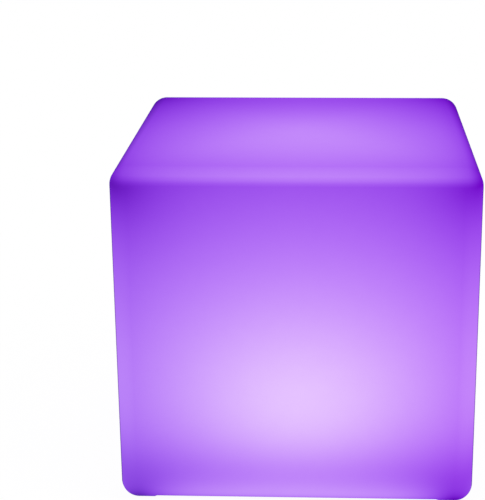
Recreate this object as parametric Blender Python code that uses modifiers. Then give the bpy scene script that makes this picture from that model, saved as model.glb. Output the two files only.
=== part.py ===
"""A light-up cube stool: a hollow moulded shell with a lamp unit screwed into the recess in its base.

Run it with: blender --background --python part.py
Metres, +Z up. The origin is on the floor under the middle of the stool, and -Y is the front.
The lamp unit is sized from its contents outwards: battery and board, housing, flange, recess.
"""

import math

import bmesh
import bpy
from mathutils import Matrix, Vector
from mathutils.geometry import interpolate_bezier

# Clearances
FIT_GAP = 0.0003
SOLDER_GAP = 0.0001
COMPONENT_GAP = 0.001
CUT_OVERRUN = 0.002
FUSE_OVERLAP = 0.0006
MERGE_DISTANCE = 0.00001

# Shell
SHELL_SIDE = 0.400
SHELL_HEIGHT = 0.390
SHELL_EDGE_RADIUS = 0.0205
SHELL_WALL = 0.0035
SHELL_EDGE_SEGMENTS = 6
CAVITY_EDGE_SEGMENTS = 3
FOOT_REACH = 0.038
FOOT_HEIGHT = 0.0012
FOOT_RAMP = 0.003
RECESS_DEPTH = 0.013
RECESS_MARGIN = 0.005
RECESS_FILLET = 0.002
INSERT_RADIUS = 0.003
INSERT_LENGTH = 0.008
INSERT_BOSS_WALL = 0.0026
INSERT_BOSS_CAP = 0.0025

# Screws: the large ones hold the flange, and the small ones are inside the lamp unit
FLANGE_SCREW_COUNT = 6
FLANGE_SCREW_RADIUS = 0.002
FLANGE_SCREW_HEAD_RADIUS = 0.004
FLANGE_SCREW_HEAD_HEIGHT = 0.0026
FLANGE_SCREW_LENGTH = 0.012
SMALL_SCREW_RADIUS = 0.0015
SMALL_SCREW_HEAD_RADIUS = 0.00275
SMALL_SCREW_HEAD_HEIGHT = 0.0018
HOUSING_SCREW_LENGTH = 0.010
BOARD_SCREW_LENGTH = 0.006
HEAD_MARGIN = 0.0022
SMALL_BOSS_WALL = 0.0014
SHOULDER_SHARE = 0.45
CROWN_SHARE = 0.7
CROSS_LENGTH_SHARE = 0.62
CROSS_WIDTH_SHARE = 0.18
CROSS_DEPTH_SHARE = 0.5

# Gasket and base plate
GASKET_THICKNESS = 0.0015
GASKET_INSET = 0.001
PLATE_THICKNESS = 0.003
RIM_WIDTH = 0.0025
RIM_DROP = 0.002
RING_WALL = 0.002
RING_HEIGHT = 0.004
OPENING_CLEARANCE = 0.0008

# Battery pack: two cells side by side, along Y
CELL_RADIUS = 0.0092
CELL_LENGTH = 0.065
CELL_SPACING = 0.0006
CELL_NUB_RADIUS = 0.003
CELL_NUB_HEIGHT = 0.0008
CELL_GROOVE_DEPTH = 0.0005
CELL_GROOVE_WIDTH = 0.0016
CELL_GROOVE_INSET = 0.003
CELL_FLOOR = 0.002
CRADLE_HEIGHT = 0.006
CRADLE_THICKNESS = 0.002
CRADLE_PLACE_SHARE = 0.3
STRIP_THICKNESS = 0.0003
STRIP_HEIGHT = 0.007
PROTECTION_THICKNESS = 0.0012
PROTECTION_HEIGHT = 0.012
PROTECTION_WIDTH_SHARE = 0.72
BRACKET_THICKNESS = 0.0015
BRACKET_WIDTH = 0.010
BRACKET_BOSS_HEIGHT = 0.006
BRACKET_ARC_STEPS = 5

# Control board, above the switch and the charging socket
BOARD_WIDTH = 0.026
BOARD_THICKNESS = 0.0016
BOARD_END_MARGIN = 0.0015
BOARD_MIDDLE_ROOM = 0.003
LEAD_ROOM = 0.006
LEAD_BEND_ROOM = 0.010
CHIP_LENGTH = 0.010
CHIP_WIDTH = 0.006
CHIP_HEIGHT = 0.0018
CHIP_PLACE_SHARE = 0.2

# Switch, pressed upwards from below
SWITCH_BEZEL_RADIUS = 0.0085
SWITCH_BEZEL_THICKNESS = 0.002
SWITCH_BARREL_RADIUS = 0.006
SWITCH_BARREL_LENGTH = 0.014
SWITCH_CHAMBER_RADIUS = 0.0049
SWITCH_END_WALL = 0.002
SWITCH_NUT_WIDTH = 0.015
SWITCH_NUT_THICKNESS = 0.003
BUTTON_RADIUS = 0.0039
BUTTON_PROUD = 0.002
BUTTON_COLLAR_RADIUS = 0.0045
BUTTON_COLLAR_HEIGHT = 0.001
BUTTON_EDGE = 0.0006
BUTTON_STEM_RADIUS = 0.002
BUTTON_TRAVEL = 0.0016
SPRING_RADIUS = 0.0033
SPRING_WIRE_RADIUS = 0.00025
SPRING_TURNS = 5
SPRING_STEPS = 10

# Charging socket, open downwards, with its rubber cap on a tether
JACK_FLANGE_RADIUS = 0.0055
JACK_FLANGE_THICKNESS = 0.0015
JACK_BARREL_RADIUS = 0.004
JACK_BARREL_LENGTH = 0.013
JACK_BORE_RADIUS = 0.0028
JACK_BORE_DEPTH = 0.0095
JACK_PIN_RADIUS = 0.001
JACK_PIN_INSET = 0.001
JACK_NUT_WIDTH = 0.011
JACK_NUT_THICKNESS = 0.0025
SEAL_THICKNESS = 0.0008
CAP_OVERHANG = 0.0015
CAP_THICKNESS = 0.002
CAP_PLUG_CLEARANCE = 0.0004
CAP_PLUG_WALL = 0.0008
CAP_PLUG_LENGTH = 0.0025
CAP_ARM_LENGTH = 0.006
CAP_ARM_WIDTH = 0.005
CAP_ARM_THICKNESS = 0.0014
CAP_TAB_LENGTH = 0.003
ANCHOR_HEAD_RADIUS = 0.003
ANCHOR_SHANK_RADIUS = 0.0014
ANCHOR_BARB_RADIUS = 0.0022
ANCHOR_BARB_HEIGHT = 0.0015

# Housing, light board and dome
HOUSING_WALL = 0.0022
HOUSING_CLEARANCE = 0.001
HOUSING_POST_COUNT = 3
HOUSING_NECK_HEIGHT = 0.006
CEILING_BOSS_DEPTH = 0.005
SPREADER_THICKNESS = 0.0015
SPREADER_INSET = 0.006
LIGHT_BOARD_INSET = 0.008
LIGHT_BOARD_THICKNESS = 0.0016
LIGHT_SCREW_ANGLES = (math.radians(45), math.radians(225))
LED_COUNT = 8
LED_SIDE = 0.005
LED_HEIGHT = 0.0016
LED_EDGE = 0.0003
LED_RING_SHARE = 0.64
RECEIVER_LENGTH = 0.007
RECEIVER_WIDTH = 0.005
RECEIVER_HEIGHT = 0.007
DOME_WALL = 0.002
DOME_SPRING_HEIGHT = 0.003
DOME_RISE = 0.022
DOME_ARC_STEPS = 6
LEAD_RADIUS = 0.0012
LED_LEAD_PLACE_SHARE = 0.3
BATTERY_LEAD_SWING = 0.014
BATTERY_LEAD_START_SHARE = 0.2
BATTERY_LEAD_STEPS = 12

# Facets of round pieces
LARGE_ROUND = 32
MEDIUM_ROUND = 16
SMALL_ROUND = 10
SMOOTH_ANGLE = math.radians(35)
LIE_ALONG_Y = Matrix.Rotation(math.pi / 2, 3, "X")

# Levels up the stack, from the shell's seat to the plate
SEAT_Z = FOOT_HEIGHT + RECESS_DEPTH
GASKET_TOP = SEAT_Z - FIT_GAP
GASKET_BOTTOM = GASKET_TOP - GASKET_THICKNESS
PLATE_TOP = GASKET_BOTTOM - FIT_GAP
PLATE_BOTTOM = PLATE_TOP - PLATE_THICKNESS
SEAL_TOP = PLATE_BOTTOM - FIT_GAP
SEAL_BOTTOM = SEAL_TOP - SEAL_THICKNESS

# Levels of the switch and the socket
BEZEL_TOP = SEAL_BOTTOM - FIT_GAP
BEZEL_BOTTOM = BEZEL_TOP - SWITCH_BEZEL_THICKNESS
SWITCH_TOP = BEZEL_TOP + SWITCH_BARREL_LENGTH
SWITCH_BORE_TOP = SWITCH_TOP - SWITCH_END_WALL
BUTTON_COLLAR_TOP = BEZEL_TOP + FIT_GAP + BUTTON_COLLAR_HEIGHT
JACK_FLANGE_TOP = SEAL_BOTTOM - FIT_GAP
JACK_FRONT = JACK_FLANGE_TOP - JACK_FLANGE_THICKNESS
JACK_TOP = JACK_FLANGE_TOP + JACK_BARREL_LENGTH
JACK_BORE_TOP = JACK_FRONT + JACK_BORE_DEPTH
CAP_TOP = JACK_FRONT - FIT_GAP
CAP_BOTTOM = CAP_TOP - CAP_THICKNESS

# Levels of the battery and the boards
CELL_Z = PLATE_TOP + CELL_FLOOR + FIT_GAP + CELL_RADIUS
BRACKET_BOSS_TOP = PLATE_TOP + BRACKET_BOSS_HEIGHT
BRACKET_TOP = CELL_Z + CELL_RADIUS + FIT_GAP + BRACKET_THICKNESS
BOARD_BOTTOM = max(SWITCH_TOP, JACK_TOP) + LEAD_ROOM
BOARD_TOP = BOARD_BOTTOM + BOARD_THICKNESS
HOUSING_BOTTOM = PLATE_TOP + FIT_GAP
CEILING_Z = max(BRACKET_TOP, BOARD_TOP) + LEAD_BEND_ROOM
HOUSING_TOP = CEILING_Z + HOUSING_WALL
SPREADER_TOP = HOUSING_TOP + FIT_GAP + SPREADER_THICKNESS
LIGHT_BOARD_BOTTOM = SPREADER_TOP + FIT_GAP
LIGHT_BOARD_TOP = LIGHT_BOARD_BOTTOM + LIGHT_BOARD_THICKNESS

# Plan of the contents: battery on the left, board on the right, centred on the housing
PACK_WIDTH = 4 * CELL_RADIUS + CELL_SPACING
SMALL_BOSS_RADIUS = SMALL_SCREW_RADIUS + FIT_GAP + SMALL_BOSS_WALL
BRACKET_REACH = FIT_GAP + BRACKET_THICKNESS + FIT_GAP + SMALL_SCREW_HEAD_RADIUS
BRACKET_FOOT_HALF = max(SMALL_BOSS_RADIUS, SMALL_SCREW_HEAD_RADIUS)
MIDDLE_ROOM = BRACKET_REACH + BRACKET_FOOT_HALF + COMPONENT_GAP
CONTENTS_HALF = (PACK_WIDTH + MIDDLE_ROOM + BOARD_WIDTH) / 2
PACK_LEFT = -CONTENTS_HALF
PACK_RIGHT = PACK_LEFT + PACK_WIDTH
PACK_X = (PACK_LEFT + PACK_RIGHT) / 2
CELL_XS = (PACK_LEFT + CELL_RADIUS, PACK_RIGHT - CELL_RADIUS)
BOARD_X = CONTENTS_HALF - BOARD_WIDTH / 2

# Along the board from front to back: post, switch, socket, post
SWITCH_NUT_RADIUS = SWITCH_NUT_WIDTH / math.sqrt(3)
JACK_NUT_RADIUS = JACK_NUT_WIDTH / math.sqrt(3)
SWITCH_ROOM = max(SWITCH_NUT_RADIUS, SWITCH_BEZEL_RADIUS)
CAP_RADIUS = JACK_FLANGE_RADIUS + CAP_OVERHANG
JACK_ROOM = max(JACK_NUT_RADIUS, CAP_RADIUS)
POST_ROOM = SMALL_BOSS_RADIUS + BOARD_END_MARGIN
BOARD_LENGTH = (
    2 * (POST_ROOM + SMALL_BOSS_RADIUS + COMPONENT_GAP) + 2 * SWITCH_ROOM + 2 * JACK_ROOM + BOARD_MIDDLE_ROOM
)
BOARD_HALF = BOARD_LENGTH / 2
POST_Y = BOARD_HALF - POST_ROOM
SWITCH_Y = -POST_Y + SMALL_BOSS_RADIUS + COMPONENT_GAP + SWITCH_ROOM
JACK_Y = POST_Y - SMALL_BOSS_RADIUS - COMPONENT_GAP - JACK_ROOM

# Cap tether: its pivot line, and the anchor beyond it
PIVOT_X = BOARD_X + CAP_RADIUS + CAP_ARM_LENGTH
PIVOT_Z = (CAP_TOP + CAP_BOTTOM) / 2
ANCHOR_X = PIVOT_X + CAP_ARM_THICKNESS / 2 + FIT_GAP + ANCHOR_HEAD_RADIUS

# Housing and everything round it
STRIP_OUTER_Y = CELL_LENGTH / 2 + SOLDER_GAP + STRIP_THICKNESS
PROTECTION_FRONT_Y = STRIP_OUTER_Y + SOLDER_GAP + PROTECTION_THICKNESS
HOUSING_BORE_RADIUS = (
    max(
        math.hypot(CONTENTS_HALF, CELL_LENGTH / 2),
        math.hypot(CONTENTS_HALF, BOARD_HALF),
        math.hypot(ANCHOR_X + ANCHOR_BARB_RADIUS, JACK_Y),
        -PACK_LEFT + BRACKET_REACH + BRACKET_FOOT_HALF,
    )
    + HOUSING_CLEARANCE
)
HOUSING_RADIUS = HOUSING_BORE_RADIUS + HOUSING_WALL
NECK_RADIUS = HOUSING_RADIUS - DOME_WALL - FIT_GAP
HOUSING_POST_CIRCLE = HOUSING_BORE_RADIUS - SMALL_BOSS_RADIUS + FUSE_OVERLAP
LIGHT_BOARD_RADIUS = NECK_RADIUS - LIGHT_BOARD_INSET
LIGHT_SCREW_CIRCLE = LIGHT_BOARD_RADIUS - SMALL_SCREW_HEAD_RADIUS - COMPONENT_GAP
RING_BORE_RADIUS = HOUSING_RADIUS + FIT_GAP
RING_RADIUS = RING_BORE_RADIUS + RING_WALL
OPENING_RADIUS = RING_RADIUS + OPENING_CLEARANCE
FLANGE_SCREW_CIRCLE = OPENING_RADIUS + HEAD_MARGIN + FLANGE_SCREW_HEAD_RADIUS
FLANGE_RADIUS = FLANGE_SCREW_CIRCLE + FLANGE_SCREW_HEAD_RADIUS + HEAD_MARGIN + RIM_WIDTH
RECESS_RADIUS = FLANGE_RADIUS + RECESS_MARGIN
INSERT_BOSS_RADIUS = INSERT_RADIUS + FIT_GAP + INSERT_BOSS_WALL
LED_LEAD_Y = BOARD_HALF * LED_LEAD_PLACE_SHARE


def clear_scene():
    """Removes the startup objects."""
    for obj in list(bpy.data.objects):
        bpy.data.objects.remove(obj, do_unlink=True)


def new_collection(name):
    made = bpy.data.collections.new(name)
    bpy.context.scene.collection.children.link(made)
    return made


clear_scene()
PARTS = new_collection("light_up_cube_stool")
CUTTERS = new_collection("cutters")


def principled(name, colour, roughness, metallic=0.0, glow=0.0):
    """A Principled material, with the same colour given off as light when glow is above 0."""
    made = bpy.data.materials.new(name)
    made.use_nodes = True
    shader = made.node_tree.nodes["Principled BSDF"]
    shader.inputs["Base Color"].default_value = (*colour, 1.0)
    shader.inputs["Roughness"].default_value = roughness
    shader.inputs["Metallic"].default_value = metallic
    shader.inputs["Emission Color"].default_value = (*colour, 1.0)
    shader.inputs["Emission Strength"].default_value = glow
    return made


LIT_POLYETHYLENE = principled("lit_polyethylene", (0.40, 0.15, 0.90), 0.45, glow=0.8)
WHITE_ABS = principled("white_abs", (0.85, 0.85, 0.83), 0.40)
FROSTED_COVER = principled("frosted_polycarbonate", (0.88, 0.89, 0.92), 0.55)
SILICONE = principled("grey_silicone", (0.45, 0.45, 0.46), 0.65)
BLACK_RUBBER = principled("black_rubber", (0.02, 0.02, 0.02), 0.70)
STAINLESS = principled("stainless_steel", (0.62, 0.62, 0.62), 0.28, metallic=1.0)
BRASS = principled("brass", (0.72, 0.50, 0.20), 0.32, metallic=1.0)
ALUMINIUM = principled("aluminium", (0.75, 0.76, 0.78), 0.38, metallic=1.0)
NICKEL = principled("nickel", (0.66, 0.64, 0.60), 0.30, metallic=1.0)
WHITE_BOARD = principled("white_solder_mask", (0.90, 0.90, 0.90), 0.45)
GREEN_BOARD = principled("green_solder_mask", (0.02, 0.16, 0.06), 0.38)
LED_PACKAGE = principled("led_package", (0.93, 0.90, 0.72), 0.35)
CELL_SLEEVE = principled("blue_cell_sleeve", (0.03, 0.12, 0.42), 0.35)
BLACK_PLASTIC = principled("black_plastic", (0.03, 0.03, 0.03), 0.45)
GREY_PLASTIC = principled("grey_plastic", (0.22, 0.22, 0.23), 0.42)
CABLE_SHEATH = principled("cable_sheath", (0.45, 0.03, 0.03), 0.45)


def keep(obj, material, x=0.0, y=0.0, z=0.0):
    """Puts an object among the parts, at its place."""
    obj.location = (x, y, z)
    obj.data.materials.append(material)
    PARTS.objects.link(obj)
    return obj


def as_cutter(obj, x=0.0, y=0.0, z=0.0):
    """Puts an object among the cutters, which no render shows."""
    obj.location = (x, y, z)
    obj.hide_render = True
    obj.display_type = "WIRE"
    CUTTERS.objects.link(obj)
    return obj


def mesh_object(name, bm):
    """An object of a finished bmesh, which it frees."""
    mesh = bpy.data.meshes.new(name)
    bm.to_mesh(mesh)
    bm.free()
    return bpy.data.objects.new(name, mesh)


def join(obj, other, operation):
    """A Boolean modifier on obj: DIFFERENCE cuts other away, and UNION fuses it on."""
    modifier = obj.modifiers.new(other.name, "BOOLEAN")
    modifier.operation = operation
    modifier.solver = "EXACT"
    modifier.object = other
    return obj


def turned(name, profile, segments, ring=False):
    """A profile of (radius, height) points turned about Z. The points run down the outer side, and a
    ring's profile closes on itself."""
    mesh = bpy.data.meshes.new(name)
    points = [(radius, 0.0, height) for radius, height in profile]
    edges = [(i, i + 1) for i in range(len(points) - 1)]
    if ring:
        edges.append((len(points) - 1, 0))
    mesh.from_pydata(points, edges, [])
    obj = bpy.data.objects.new(name, mesh)
    screw = obj.modifiers.new("turn", "SCREW")
    screw.steps = segments
    screw.render_steps = segments
    screw.use_merge_vertices = True
    screw.merge_threshold = MERGE_DISTANCE
    return obj


def flat_ring(name, inner, outer, bottom, top, segments):
    """A plain washer, lying flat."""
    return turned(name, [(inner, top), (outer, top), (outer, bottom), (inner, bottom)], segments, ring=True)


def rods(name, places, segments):
    """One mesh of upright cylinders, from places of (x, y, bottom, top, radius)."""
    bm = bmesh.new()
    for x, y, bottom, top, radius in places:
        made = bmesh.ops.create_cone(
            bm, cap_ends=True, segments=segments, radius1=radius, radius2=radius, depth=top - bottom
        )
        bmesh.ops.translate(bm, verts=made["verts"], vec=(x, y, (bottom + top) / 2))
    return mesh_object(name, bm)


def block(name, size, edge=0.0):
    """A box about its own centre, with its edges taken off by edge."""
    bm = bmesh.new()
    bmesh.ops.create_cube(bm, size=1.0)
    bmesh.ops.scale(bm, vec=size, verts=bm.verts)
    if edge:
        bmesh.ops.bevel(bm, geom=bm.edges[:], offset=edge, segments=1, profile=0.5, affect="EDGES")
    return mesh_object(name, bm)


def rounded_block(name, size, radius, segments):
    """A box about its own centre, with every edge rounded."""
    bm = bmesh.new()
    bmesh.ops.create_cube(bm, size=1.0)
    bmesh.ops.scale(bm, vec=size, verts=bm.verts)
    bmesh.ops.bevel(bm, geom=bm.edges[:], offset=radius, segments=segments, profile=0.5, affect="EDGES")
    return mesh_object(name, bm)


def tube(name, points, radius, material):
    """A round wire or lead along points, with closed ends."""
    curve = bpy.data.curves.new(name, "CURVE")
    curve.dimensions = "3D"
    curve.bevel_depth = radius
    curve.bevel_resolution = 1
    curve.use_fill_caps = True
    spline = curve.splines.new("POLY")
    spline.points.add(len(points) - 1)
    for knot, point in zip(spline.points, points):
        knot.co = (*point, 1.0)
    return keep(bpy.data.objects.new(name, curve), material)


def circle_places(count, radius, turn=0.0):
    """Points evenly round a circle about the origin."""
    angles = [turn + math.tau * i / count for i in range(count)]
    return [(radius * math.cos(angle), radius * math.sin(angle)) for angle in angles]


def pan_screw(name, shank, head, crown, length):
    """A cross-head pan screw. Its head stands up from z = 0 and its shank runs down."""
    shoulder = crown * SHOULDER_SHARE
    profile = [
        (0.0, crown),
        (head * CROWN_SHARE, crown),
        (head, shoulder),
        (head, 0.0),
        (shank, 0.0),
        (shank, -length),
        (0.0, -length),
    ]
    screw = turned(name, profile, SMALL_ROUND)
    bm = bmesh.new()
    for along, across in ((CROSS_LENGTH_SHARE, CROSS_WIDTH_SHARE), (CROSS_WIDTH_SHARE, CROSS_LENGTH_SHARE)):
        made = bmesh.ops.create_cube(bm, size=1.0)
        depth = crown * CROSS_DEPTH_SHARE + CUT_OVERRUN
        bmesh.ops.scale(bm, vec=(2 * head * along, 2 * head * across, depth), verts=made["verts"])
        bmesh.ops.translate(bm, verts=made["verts"], vec=(0.0, 0.0, crown + CUT_OVERRUN - depth / 2))
    return screw, mesh_object(name + "_cross", bm)


def screw_set(names, places, top, shank, head, crown, length, head_down=False):
    """Identical screws at places of (x, y), with the face that bears at height top."""
    pattern, cross = pan_screw(names + "_pattern", shank, head, crown, length)
    as_cutter(pattern)
    as_cutter(cross)
    join(pattern, cross, "DIFFERENCE").modifiers[-1].use_self = True
    bpy.context.view_layer.update()
    graph = bpy.context.evaluated_depsgraph_get()
    shared = bpy.data.meshes.new_from_object(pattern.evaluated_get(graph))
    shared.name = names
    shared.materials.append(STAINLESS)
    for number, (x, y) in enumerate(places, 1):
        screw = bpy.data.objects.new(f"{names}_{number}", shared)
        screw.location = (x, y, top)
        screw.rotation_euler = (math.pi if head_down else 0.0, 0.0, 0.0)
        PARTS.objects.link(screw)


def shell_skin(name):
    """The outside of the shell: a rounded block whose underside is lifted between its four corner feet."""
    bm = bmesh.new()
    bmesh.ops.create_cube(bm, size=1.0)
    bmesh.ops.scale(bm, vec=(SHELL_SIDE, SHELL_SIDE, SHELL_HEIGHT), verts=bm.verts)
    bmesh.ops.translate(bm, vec=(0.0, 0.0, SHELL_HEIGHT / 2), verts=bm.verts)
    bmesh.ops.bevel(
        bm,
        geom=bm.edges[:],
        offset=SHELL_EDGE_RADIUS,
        segments=SHELL_EDGE_SEGMENTS,
        profile=0.5,
        affect="EDGES",
    )
    foot_inner = SHELL_SIDE / 2 - FOOT_REACH
    for axis in (0, 1):
        for place in (-foot_inner, FOOT_RAMP - foot_inner, foot_inner - FOOT_RAMP, foot_inner):
            low = [f for f in bm.faces if all(v.co.z < SHELL_EDGE_RADIUS + MERGE_DISTANCE for v in f.verts)]
            edges = list({edge for face in low for edge in face.edges})
            corners = list({vert for face in low for vert in face.verts})
            at = Vector((0.0, 0.0, 0.0))
            at[axis] = place
            normal = Vector((0.0, 0.0, 0.0))
            normal[axis] = 1.0
            bmesh.ops.bisect_plane(
                bm, geom=low + edges + corners, plane_co=at, plane_no=normal, dist=MERGE_DISTANCE
            )
    lifted = foot_inner - FOOT_RAMP + MERGE_DISTANCE
    for vert in bm.verts:
        if vert.co.z < SHELL_EDGE_RADIUS and min(abs(vert.co.x), abs(vert.co.y)) < lifted:
            vert.co.z += FOOT_HEIGHT * (1 - vert.co.z / SHELL_EDGE_RADIUS)
    return mesh_object(name, bm)


def shell():
    """The hollow moulded cube, with the drum and bosses that stand up round its base recess."""
    cavity_bottom = FOOT_HEIGHT + SHELL_WALL
    cavity_height = SHELL_HEIGHT - SHELL_WALL - cavity_bottom
    cavity_side = SHELL_SIDE - 2 * SHELL_WALL
    cavity = rounded_block(
        "cutter_cavity",
        (cavity_side, cavity_side, cavity_height),
        SHELL_EDGE_RADIUS - SHELL_WALL,
        CAVITY_EDGE_SEGMENTS,
    )
    as_cutter(cavity, z=cavity_bottom + cavity_height / 2)
    drum_top = SEAT_Z + SHELL_WALL
    drum = rods("keep_drum", [(0.0, 0.0, -CUT_OVERRUN, drum_top, RECESS_RADIUS + SHELL_WALL)], LARGE_ROUND)
    join(cavity, as_cutter(drum), "DIFFERENCE")
    places = circle_places(FLANGE_SCREW_COUNT, FLANGE_SCREW_CIRCLE)
    boss_top = SEAT_Z + INSERT_LENGTH + FIT_GAP + INSERT_BOSS_CAP
    boss_places = [(x, y, SEAT_Z, boss_top, INSERT_BOSS_RADIUS) for x, y in places]
    join(cavity, as_cutter(rods("keep_bosses", boss_places, SMALL_ROUND)), "DIFFERENCE")

    body = keep(shell_skin("cube_shell"), LIT_POLYETHYLENE)
    join(body, cavity, "DIFFERENCE")
    mouth = RECESS_RADIUS + RECESS_FILLET
    recess = turned(
        "cutter_recess",
        [
            (0.0, SEAT_Z),
            (RECESS_RADIUS - RECESS_FILLET, SEAT_Z),
            (RECESS_RADIUS, SEAT_Z - RECESS_FILLET),
            (RECESS_RADIUS, FOOT_HEIGHT + RECESS_FILLET),
            (mouth, FOOT_HEIGHT),
            (mouth, -CUT_OVERRUN),
            (0.0, -CUT_OVERRUN),
        ],
        LARGE_ROUND,
    )
    join(body, as_cutter(recess), "DIFFERENCE")
    through = (0.0, 0.0, SEAT_Z - CUT_OVERRUN, boss_top + CUT_OVERRUN, OPENING_RADIUS)
    join(body, as_cutter(rods("cutter_opening", [through], LARGE_ROUND)), "DIFFERENCE")
    hole_top = SEAT_Z + INSERT_LENGTH + FIT_GAP
    holes = rods(
        "cutter_insert_holes",
        [(x, y, SEAT_Z - CUT_OVERRUN, hole_top, INSERT_RADIUS + FIT_GAP) for x, y in places],
        SMALL_ROUND,
    )
    join(body, as_cutter(holes), "DIFFERENCE")


def inserts():
    """Brass threaded inserts in the shell's bosses."""
    for number, (x, y) in enumerate(circle_places(FLANGE_SCREW_COUNT, FLANGE_SCREW_CIRCLE), 1):
        insert = flat_ring(
            f"brass_insert_{number}",
            FLANGE_SCREW_RADIUS + FIT_GAP,
            INSERT_RADIUS,
            SEAT_Z,
            SEAT_Z + INSERT_LENGTH,
            SMALL_ROUND,
        )
        keep(insert, BRASS, x, y)


def gasket():
    """The flat seal between the shell's seat and the flange."""
    ring = flat_ring(
        "flange_gasket",
        OPENING_RADIUS + GASKET_INSET,
        FLANGE_RADIUS - GASKET_INSET,
        GASKET_BOTTOM,
        GASKET_TOP,
        LARGE_ROUND,
    )
    keep(ring, SILICONE)
    places = circle_places(FLANGE_SCREW_COUNT, FLANGE_SCREW_CIRCLE)
    bottom = GASKET_BOTTOM - CUT_OVERRUN
    top = GASKET_TOP + CUT_OVERRUN
    radius = FLANGE_SCREW_RADIUS + FIT_GAP
    holes = rods("cutter_gasket_holes", [(x, y, bottom, top, radius) for x, y in places], SMALL_ROUND)
    join(ring, as_cutter(holes), "DIFFERENCE")


def bracket_boss_places():
    return [(PACK_LEFT - BRACKET_REACH, 0.0), (PACK_RIGHT + BRACKET_REACH, 0.0)]


def control_post_places():
    return [(BOARD_X, -POST_Y), (BOARD_X, POST_Y)]


def plate_additions():
    """What stands up on the base plate: posts, bosses and cell cradles, as one mesh to fuse on."""
    root = PLATE_TOP - FUSE_OVERLAP
    posts = [(x, y, root, BOARD_BOTTOM - FIT_GAP, SMALL_BOSS_RADIUS) for x, y in control_post_places()]
    bosses = [(x, y, root, BRACKET_BOSS_TOP, SMALL_BOSS_RADIUS) for x, y in bracket_boss_places()]
    added = rods("keep_plate_posts", posts + bosses, SMALL_ROUND)
    bm = bmesh.new()
    bm.from_mesh(added.data)
    height = CRADLE_HEIGHT + FUSE_OVERLAP
    for side in (-1, 1):
        made = bmesh.ops.create_cube(bm, size=1.0)
        bmesh.ops.scale(bm, vec=(PACK_WIDTH, CRADLE_THICKNESS, height), verts=made["verts"])
        place = (PACK_X, side * CELL_LENGTH * CRADLE_PLACE_SHARE, root + height / 2)
        bmesh.ops.translate(bm, verts=made["verts"], vec=place)
    bm.to_mesh(added.data)
    bm.free()
    return as_cutter(added)


def plate_holes():
    """The screw holes of the base plate and its posts, and the hole for the cap's anchor."""
    small = SMALL_SCREW_RADIUS + FIT_GAP
    bottom = PLATE_BOTTOM - CUT_OVERRUN
    top = PLATE_TOP + CUT_OVERRUN
    places = [(ANCHOR_X, JACK_Y, bottom, top, ANCHOR_SHANK_RADIUS + FIT_GAP)]
    flange = FLANGE_SCREW_RADIUS + FIT_GAP
    flange_places = circle_places(FLANGE_SCREW_COUNT, FLANGE_SCREW_CIRCLE)
    places += [(x, y, bottom, top, flange) for x, y in flange_places]
    places += [(x, y, bottom, top, small) for x, y in circle_places(HOUSING_POST_COUNT, HOUSING_POST_CIRCLE)]
    post_top = BOARD_BOTTOM + CUT_OVERRUN
    screw_tip = BOARD_TOP - BOARD_SCREW_LENGTH - COMPONENT_GAP
    places += [(x, y, screw_tip, post_top, small) for x, y in control_post_places()]
    boss_top = BRACKET_BOSS_TOP + CUT_OVERRUN
    screw_tip = BRACKET_BOSS_TOP + FIT_GAP + BRACKET_THICKNESS - BOARD_SCREW_LENGTH - COMPONENT_GAP
    places += [(x, y, screw_tip, boss_top, small) for x, y in bracket_boss_places()]
    return as_cutter(rods("cutter_plate_holes", places, SMALL_ROUND))


def barrel_holes():
    """The holes in the base plate for the barrels of the switch and the socket."""
    bottom = PLATE_BOTTOM - CUT_OVERRUN
    top = PLATE_TOP + CUT_OVERRUN
    places = [
        (BOARD_X, SWITCH_Y, bottom, top, SWITCH_BARREL_RADIUS + FIT_GAP),
        (BOARD_X, JACK_Y, bottom, top, JACK_BARREL_RADIUS + FIT_GAP),
    ]
    return as_cutter(rods("cutter_barrel_holes", places, MEDIUM_ROUND))


def cell_hollows():
    """The two cells' shapes, grown by the fit gap, that hollow the cradles."""
    bm = bmesh.new()
    for x in CELL_XS:
        made = bmesh.ops.create_cone(
            bm,
            cap_ends=True,
            segments=MEDIUM_ROUND,
            radius1=CELL_RADIUS + FIT_GAP,
            radius2=CELL_RADIUS + FIT_GAP,
            depth=CELL_LENGTH,
        )
        bmesh.ops.rotate(bm, verts=made["verts"], matrix=LIE_ALONG_Y)
        bmesh.ops.translate(bm, verts=made["verts"], vec=(x, 0.0, CELL_Z))
    return as_cutter(mesh_object("cutter_cell_hollows", bm))


def base_plate():
    """The round plate that closes the stool, with a rim below and a ring above that locates the housing."""
    plate = turned(
        "base_plate",
        [
            (0.0, PLATE_TOP),
            (RING_BORE_RADIUS, PLATE_TOP),
            (RING_BORE_RADIUS, PLATE_TOP + RING_HEIGHT),
            (RING_RADIUS, PLATE_TOP + RING_HEIGHT),
            (RING_RADIUS, PLATE_TOP),
            (FLANGE_RADIUS, PLATE_TOP),
            (FLANGE_RADIUS, PLATE_BOTTOM - RIM_DROP),
            (FLANGE_RADIUS - RIM_WIDTH, PLATE_BOTTOM - RIM_DROP),
            (FLANGE_RADIUS - RIM_WIDTH, PLATE_BOTTOM),
            (0.0, PLATE_BOTTOM),
        ],
        LARGE_ROUND,
    )
    keep(plate, WHITE_ABS)
    join(plate, plate_additions(), "UNION")
    join(plate, plate_holes(), "DIFFERENCE")
    join(plate, barrel_holes(), "DIFFERENCE")
    join(plate, cell_hollows(), "DIFFERENCE")


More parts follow.
